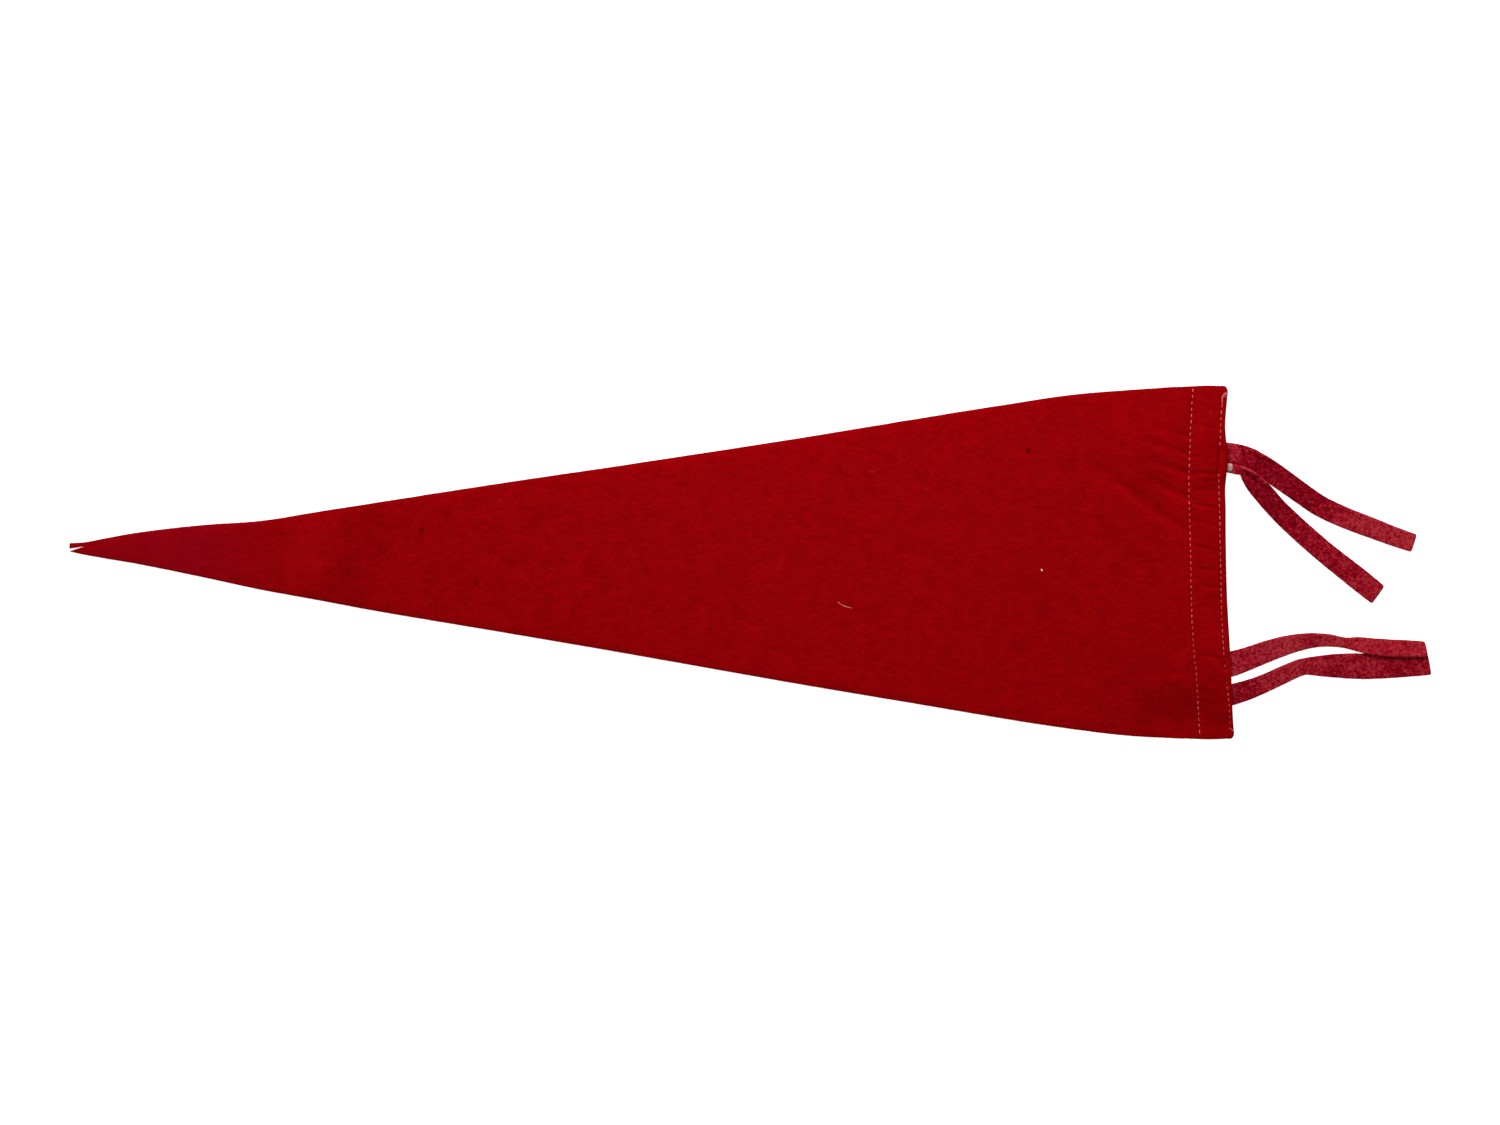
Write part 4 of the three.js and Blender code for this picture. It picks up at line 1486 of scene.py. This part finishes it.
# %% Threads that hook over the corners
# x and y on the felt, thickness, and how much red it has taken up; after its last point
# each thread goes round the fold at the same y
HOOKS = [
    ([(259.6, 86.9), (259.5, 89.4), (259.6, 91.0), (260.3, 92.2), (261.6, 93.1)], 0.50, 0.25),
    ([(260.2, 90.6), (260.7, 91.2), (261.6, 92.0)], 0.34, 0.40),
    ([(263.2, -90.9), (264.2, -91.6), (265.3, -92.4)], 0.44, 0.65),
]
HOOK_RISE = 0.14  # middle of the thread above the face
HOOK_REACH = OUTER_RADIUS + 0.16
HOOK_ANGLES = (50, 80, 110, 140)  # degrees from straight up, round the folded edge
HOOK_LOWEST = 0.2


def thread_path(points, round_y):
    """Points on the felt, then round the outside of the folded edge to the back."""
    path = [Vector((x, y, cloth_at(x, y)[0].z / MM + HOOK_RISE)) for x, y in points]
    middle_x = float(fold_centre_x(np.array([round_y]))[0])
    for angle in HOOK_ANGLES:
        side = math.sin(math.radians(angle)) * HOOK_REACH
        high = CLOTH_THICKNESS / 2 + TURN_RADIUS + math.cos(math.radians(angle)) * HOOK_REACH
        path.append(Vector((middle_x + side, round_y, max(high, HOOK_LOWEST))))
    return path


for points, thickness, soil in HOOKS:
    faces, verts = add_strands(bm, [thread_path(points, points[-1][1])], thickness)
    lay_by_place(faces, lay_layer)
    for vert in verts:
        vert[soil_layer] = soil
header_stitching = object_from(bm, "header_stitching", cotton_thread)
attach(header_stitching, "root")
print("stitching of", len(header_stitching.data.polygons), "faces")

# %% [markdown]
# ## The pale knot at the upper ties
#
# Where the short upper tie comes out from behind the fold there is a small pale spot with
# brighter points in it. It looks like the end of the sewing thread, wound round and
# knotted off, so it is made as a low lumpy button of thread with a few loose turns on it.

# %% Button of the knot
KNOT = (263.8, 52.2)
KNOT_SIZE = (3.2, 4.1, 0.9)
KNOT_RISE = 0.16  # middle of the button above the tie

short_at = surface_of(ties["tie_upper_short"][0])
knot_base = short_at(KNOT[0] + 0.6, KNOT[1])[0].z / MM

bm = bmesh.new()
lay_layer = bm.loops.layers.uv.new("lay")
handled_layer = bm.verts.layers.float.new("handled")
bmesh.ops.create_uvsphere(bm, u_segments=28, v_segments=16, radius=0.5)
for vert in bm.verts:
    lump = 1 + 0.16 * noise.noise(vert.co * 5) + 0.10 * noise.noise(vert.co * 11)
    corner = 1 + 0.20 * abs(math.sin(2 * math.atan2(vert.co.y, vert.co.x)))
    flat = vert.co * lump * corner
    vert.co = Vector(
        (
            KNOT[0] + flat.x * KNOT_SIZE[0],
            KNOT[1] + flat.y * KNOT_SIZE[1],
            knot_base + KNOT_RISE + flat.z * KNOT_SIZE[2],
        )
    )
    vert.co *= MM
print("knot base", round(knot_base, 2), "mm high")

# %% Loose turns on the knot
TURN_COUNT = 7
TURN_GAP = 0.35
TURN_THICKNESS = 0.34
TURN_RISE = 0.62  # top of the middle turn above the tie
TURN_DROP = 0.4  # how far the ends of a turn dip

turns = []
down = Vector((0, 0, TURN_DROP))
for n in range(TURN_COUNT):
    aside = TURN_GAP * (n - TURN_COUNT // 2)
    along = rng.uniform(-0.3, 0.3)
    high = knot_base + TURN_RISE - 0.22 * aside**2
    middle = Vector((KNOT[0] + aside, KNOT[1] + along, high))
    lean = math.radians(rng.uniform(75, 105))
    reach = Vector((math.cos(lean), math.sin(lean), 0)) * rng.uniform(1.0, 1.35)
    reach = reach * (1 - 0.25 * abs(aside))
    turns.append([middle - reach - down, middle, middle + reach - down])
add_strands(bm, turns, TURN_THICKNESS)
lay_by_place(bm.faces, lay_layer)
for vert in bm.verts:
    vert[handled_layer] = 1.0
thread_knot = object_from(bm, "thread_knot", cotton_thread)
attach(thread_knot, "root")
print(len(turns), "turns on the knot")

# %% [markdown]
# ## Loose fibres
#
# A cut edge of felt is never sharp: single fibres stand out from it all along, and more
# of them lie loose on the face. They are far too thin for the cells of the sheet, so they
# are strands of their own, each a few points long. The seed is fixed, so that every run
# lays them the same way.

# %% Helpers for loose fibres
FIBRE_THICKNESS = 0.05
FIBRE_LOWEST = 0.02


def loose_fibre(start, heading, tilt, length, curl):
    """A short strand that leaves a place in a direction and curls as it goes."""
    spots = [start]
    for _ in range(3):
        step = Vector((math.cos(heading), math.sin(heading), math.sin(tilt))) * (length / 3)
        spots.append(spots[-1] + step)
        heading += curl
        tilt *= 0.4
    for spot in spots:
        spot.z = max(spot.z, FIBRE_LOWEST)
    return spots


def fibres_from(name, strands, felt):
    """Joins loose fibres into one piece of the felt that they came out of."""
    mesh = curve_mesh(name, strands, FIBRE_THICKNESS)
    mesh.materials.clear()
    mesh.materials.append(felt)
    piece = bpy.data.objects.new(name, mesh)
    bpy.context.scene.collection.objects.link(piece)
    print(len(strands), "fibres,", len(mesh.polygons), "faces")
    return piece


# %% Fibres on the pennant
EDGE_FIBRES = 2300
FACE_FIBRES = 3200

fuzz_rng = random.Random(21)
strands = []
for _ in range(EDGE_FIBRES):
    x = -374 + 634 * fuzz_rng.random() ** 0.9
    on_top = fuzz_rng.random() < 0.5
    edge_y = float(top_edge(x) if on_top else bottom_edge(x))
    away = math.radians(fuzz_rng.uniform(20, 160))
    start = Vector((x, edge_y - 0.3 if on_top else edge_y + 0.3, fuzz_rng.uniform(0.25, 0.95)))
    swell = float(swell_height(np.array([x]), np.array([edge_y]))[0])
    start.z += swell + 2 * TURN_RADIUS * float(on_hem(x, FOLD_X))
    length = fuzz_rng.uniform(0.5, 1.25)
    tilt = fuzz_rng.uniform(-0.3, 0.5)
    curl = fuzz_rng.uniform(-0.5, 0.5)
    strands.append(loose_fibre(start, away if on_top else -away, tilt, length, curl))
print(len(strands), "fibres along the cut edges")

for _ in range(FACE_FIBRES):
    x = fuzz_rng.uniform(-360, 258)
    y = fuzz_rng.uniform(float(bottom_edge(x)) + 1, float(top_edge(x)) - 1)
    hit, _ = cloth_at(x, y)
    if hit is None:
        continue
    start = Vector((x, y, hit.z / MM - 0.02))
    length = fuzz_rng.uniform(0.8, 2.4)
    heading = fuzz_rng.gauss(0, 0.7)
    tilt = fuzz_rng.uniform(0.02, 0.22)
    strands.append(loose_fibre(start, heading, tilt, length, fuzz_rng.uniform(-0.5, 0.5)))

pennant_fibres = fibres_from("pennant_fibres", strands, red_felt)
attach(pennant_fibres, "root")

# %% [markdown]
# The ties have more of them for their size, because they have been handled most. More
# than half stand out from the long edges, and the others lie in any direction.

# %% Fibres on the ties
FIBRES_PER_TIE = 720
TUCKED_LENGTH = 9.5  # nothing shows of this much of a tie, behind the fold
ON_EDGE_SHARE = 0.6

strands = []
for name, line in TIE_LINES.items():
    tie_at = surface_of(ties[name][0])
    runs, (x_at, y_at, width_at, roll_at, _) = tie_curves(line)
    for _ in range(FIBRES_PER_TIE):
        run = fuzz_rng.uniform(TUCKED_LENGTH, runs[-1] - 0.3)
        heading = float(heading_of(x_at, y_at, run, 0.1))
        on_edge = fuzz_rng.random() < ON_EDGE_SHARE
        side = fuzz_rng.choice((-1, 1))
        half = float(width_at(run)) / 2 * math.cos(math.radians(float(roll_at(run))))
        reach = side * (half - 0.35) if on_edge else side * half * 0.9 * fuzz_rng.random()
        x = float(x_at(run)) - math.sin(heading) * reach
        y = float(y_at(run)) + math.cos(heading) * reach
        hit, _ = tie_at(x, y)
        if hit is None:
            continue
        outwards = heading + side * math.radians(fuzz_rng.uniform(20, 160))
        turned = outwards if on_edge else fuzz_rng.uniform(0, 6.3)
        depth = fuzz_rng.uniform(0.1, 0.7) if on_edge else 0.02
        start = Vector((x, y, max(hit.z / MM - depth, 0.05)))
        length = fuzz_rng.uniform(0.5, 1.2) if on_edge else fuzz_rng.uniform(0.7, 1.8)
        tilt = fuzz_rng.uniform(-0.1, 0.35)
        curl = fuzz_rng.uniform(-0.6, 0.6)
        strands.append(loose_fibre(start, turned, tilt, length, curl))

tie_fibres = fibres_from("tie_fibres", strands, tie_felt)
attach(tie_fibres, "root")

# %% [markdown]
# A few things have settled on the felt: one pale hair near the middle, one white fleck,
# and some stray fibres that have taken up the red. They are laid where the photograph
# shows them. Each bit is a short curve that lies on the felt, and an attribute says how
# pale it is.

# %% Lint on the felt
# x and y of one end, x and y of the other, thickness, paleness
LINT = [
    (48.3, -21.7, 56.0, -25.0, 0.15, 0.55),
    (160.1, -3.6, 160.9, -4.8, 0.50, 1.0),
    (-138.0, 34.6, -136.2, 33.2, 0.09, 0.10),
    (65.0, 51.0, 68.5, 49.8, 0.08, 0.10),
    (252.4, 81.4, 253.0, 83.8, 0.13, 0.05),
    (-110.0, -3.0, -106.5, -4.4, 0.08, 0.05),
    (200.0, -38.0, 203.0, -36.9, 0.08, 0.05),
]
LINT_BOW = 0.08  # share of its length
LINT_RISE = 0.3  # share of its thickness


def curled(x1, y1, x2, y2):
    """Five points from one end to the other, bowed a little to one side."""
    bow = Vector((y2 - y1, x1 - x2, 0)) * LINT_BOW
    one = Vector((x1, y1, 0))
    other = Vector((x2, y2, 0))
    return [one.lerp(other, t) + bow * math.sin(math.pi * t) for t in (0, 0.25, 0.5, 0.75, 1)]


bm = bmesh.new()
pale_layer = bm.verts.layers.float.new("paleness")
for x1, y1, x2, y2, thickness, paleness in LINT:
    spots = curled(x1, y1, x2, y2)
    for spot in spots:
        spot.z = cloth_at(spot.x, spot.y)[0].z / MM + thickness * LINT_RISE
    _, verts = add_strands(bm, [spots], thickness)
    for vert in verts:
        vert[pale_layer] = paleness

RED_LINT = linear(168, 26, 30)
WHITE_LINT = linear(252, 236, 224)
lint, tree, shader = new_material("lint")
matt_felt(shader, 0.1, (1.0, 0.9, 0.85, 1.0))
streaks = math_node(tree, "MULTIPLY", noise_of(tree, place_on(tree), 1800, 2, 0.5), 0.3)
shade = math_node(tree, "ADD", attribute_of(tree, "paleness"), streaks)
colour = mixed(tree, between(tree, shade, 0.1, 1.15), RED_LINT, WHITE_LINT)
tree.links.new(colour, shader.inputs["Base Color"])
lint_piece = object_from(bm, "lint_on_felt", lint)
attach(lint_piece, "root")
print(len(LINT), "bits of lint")
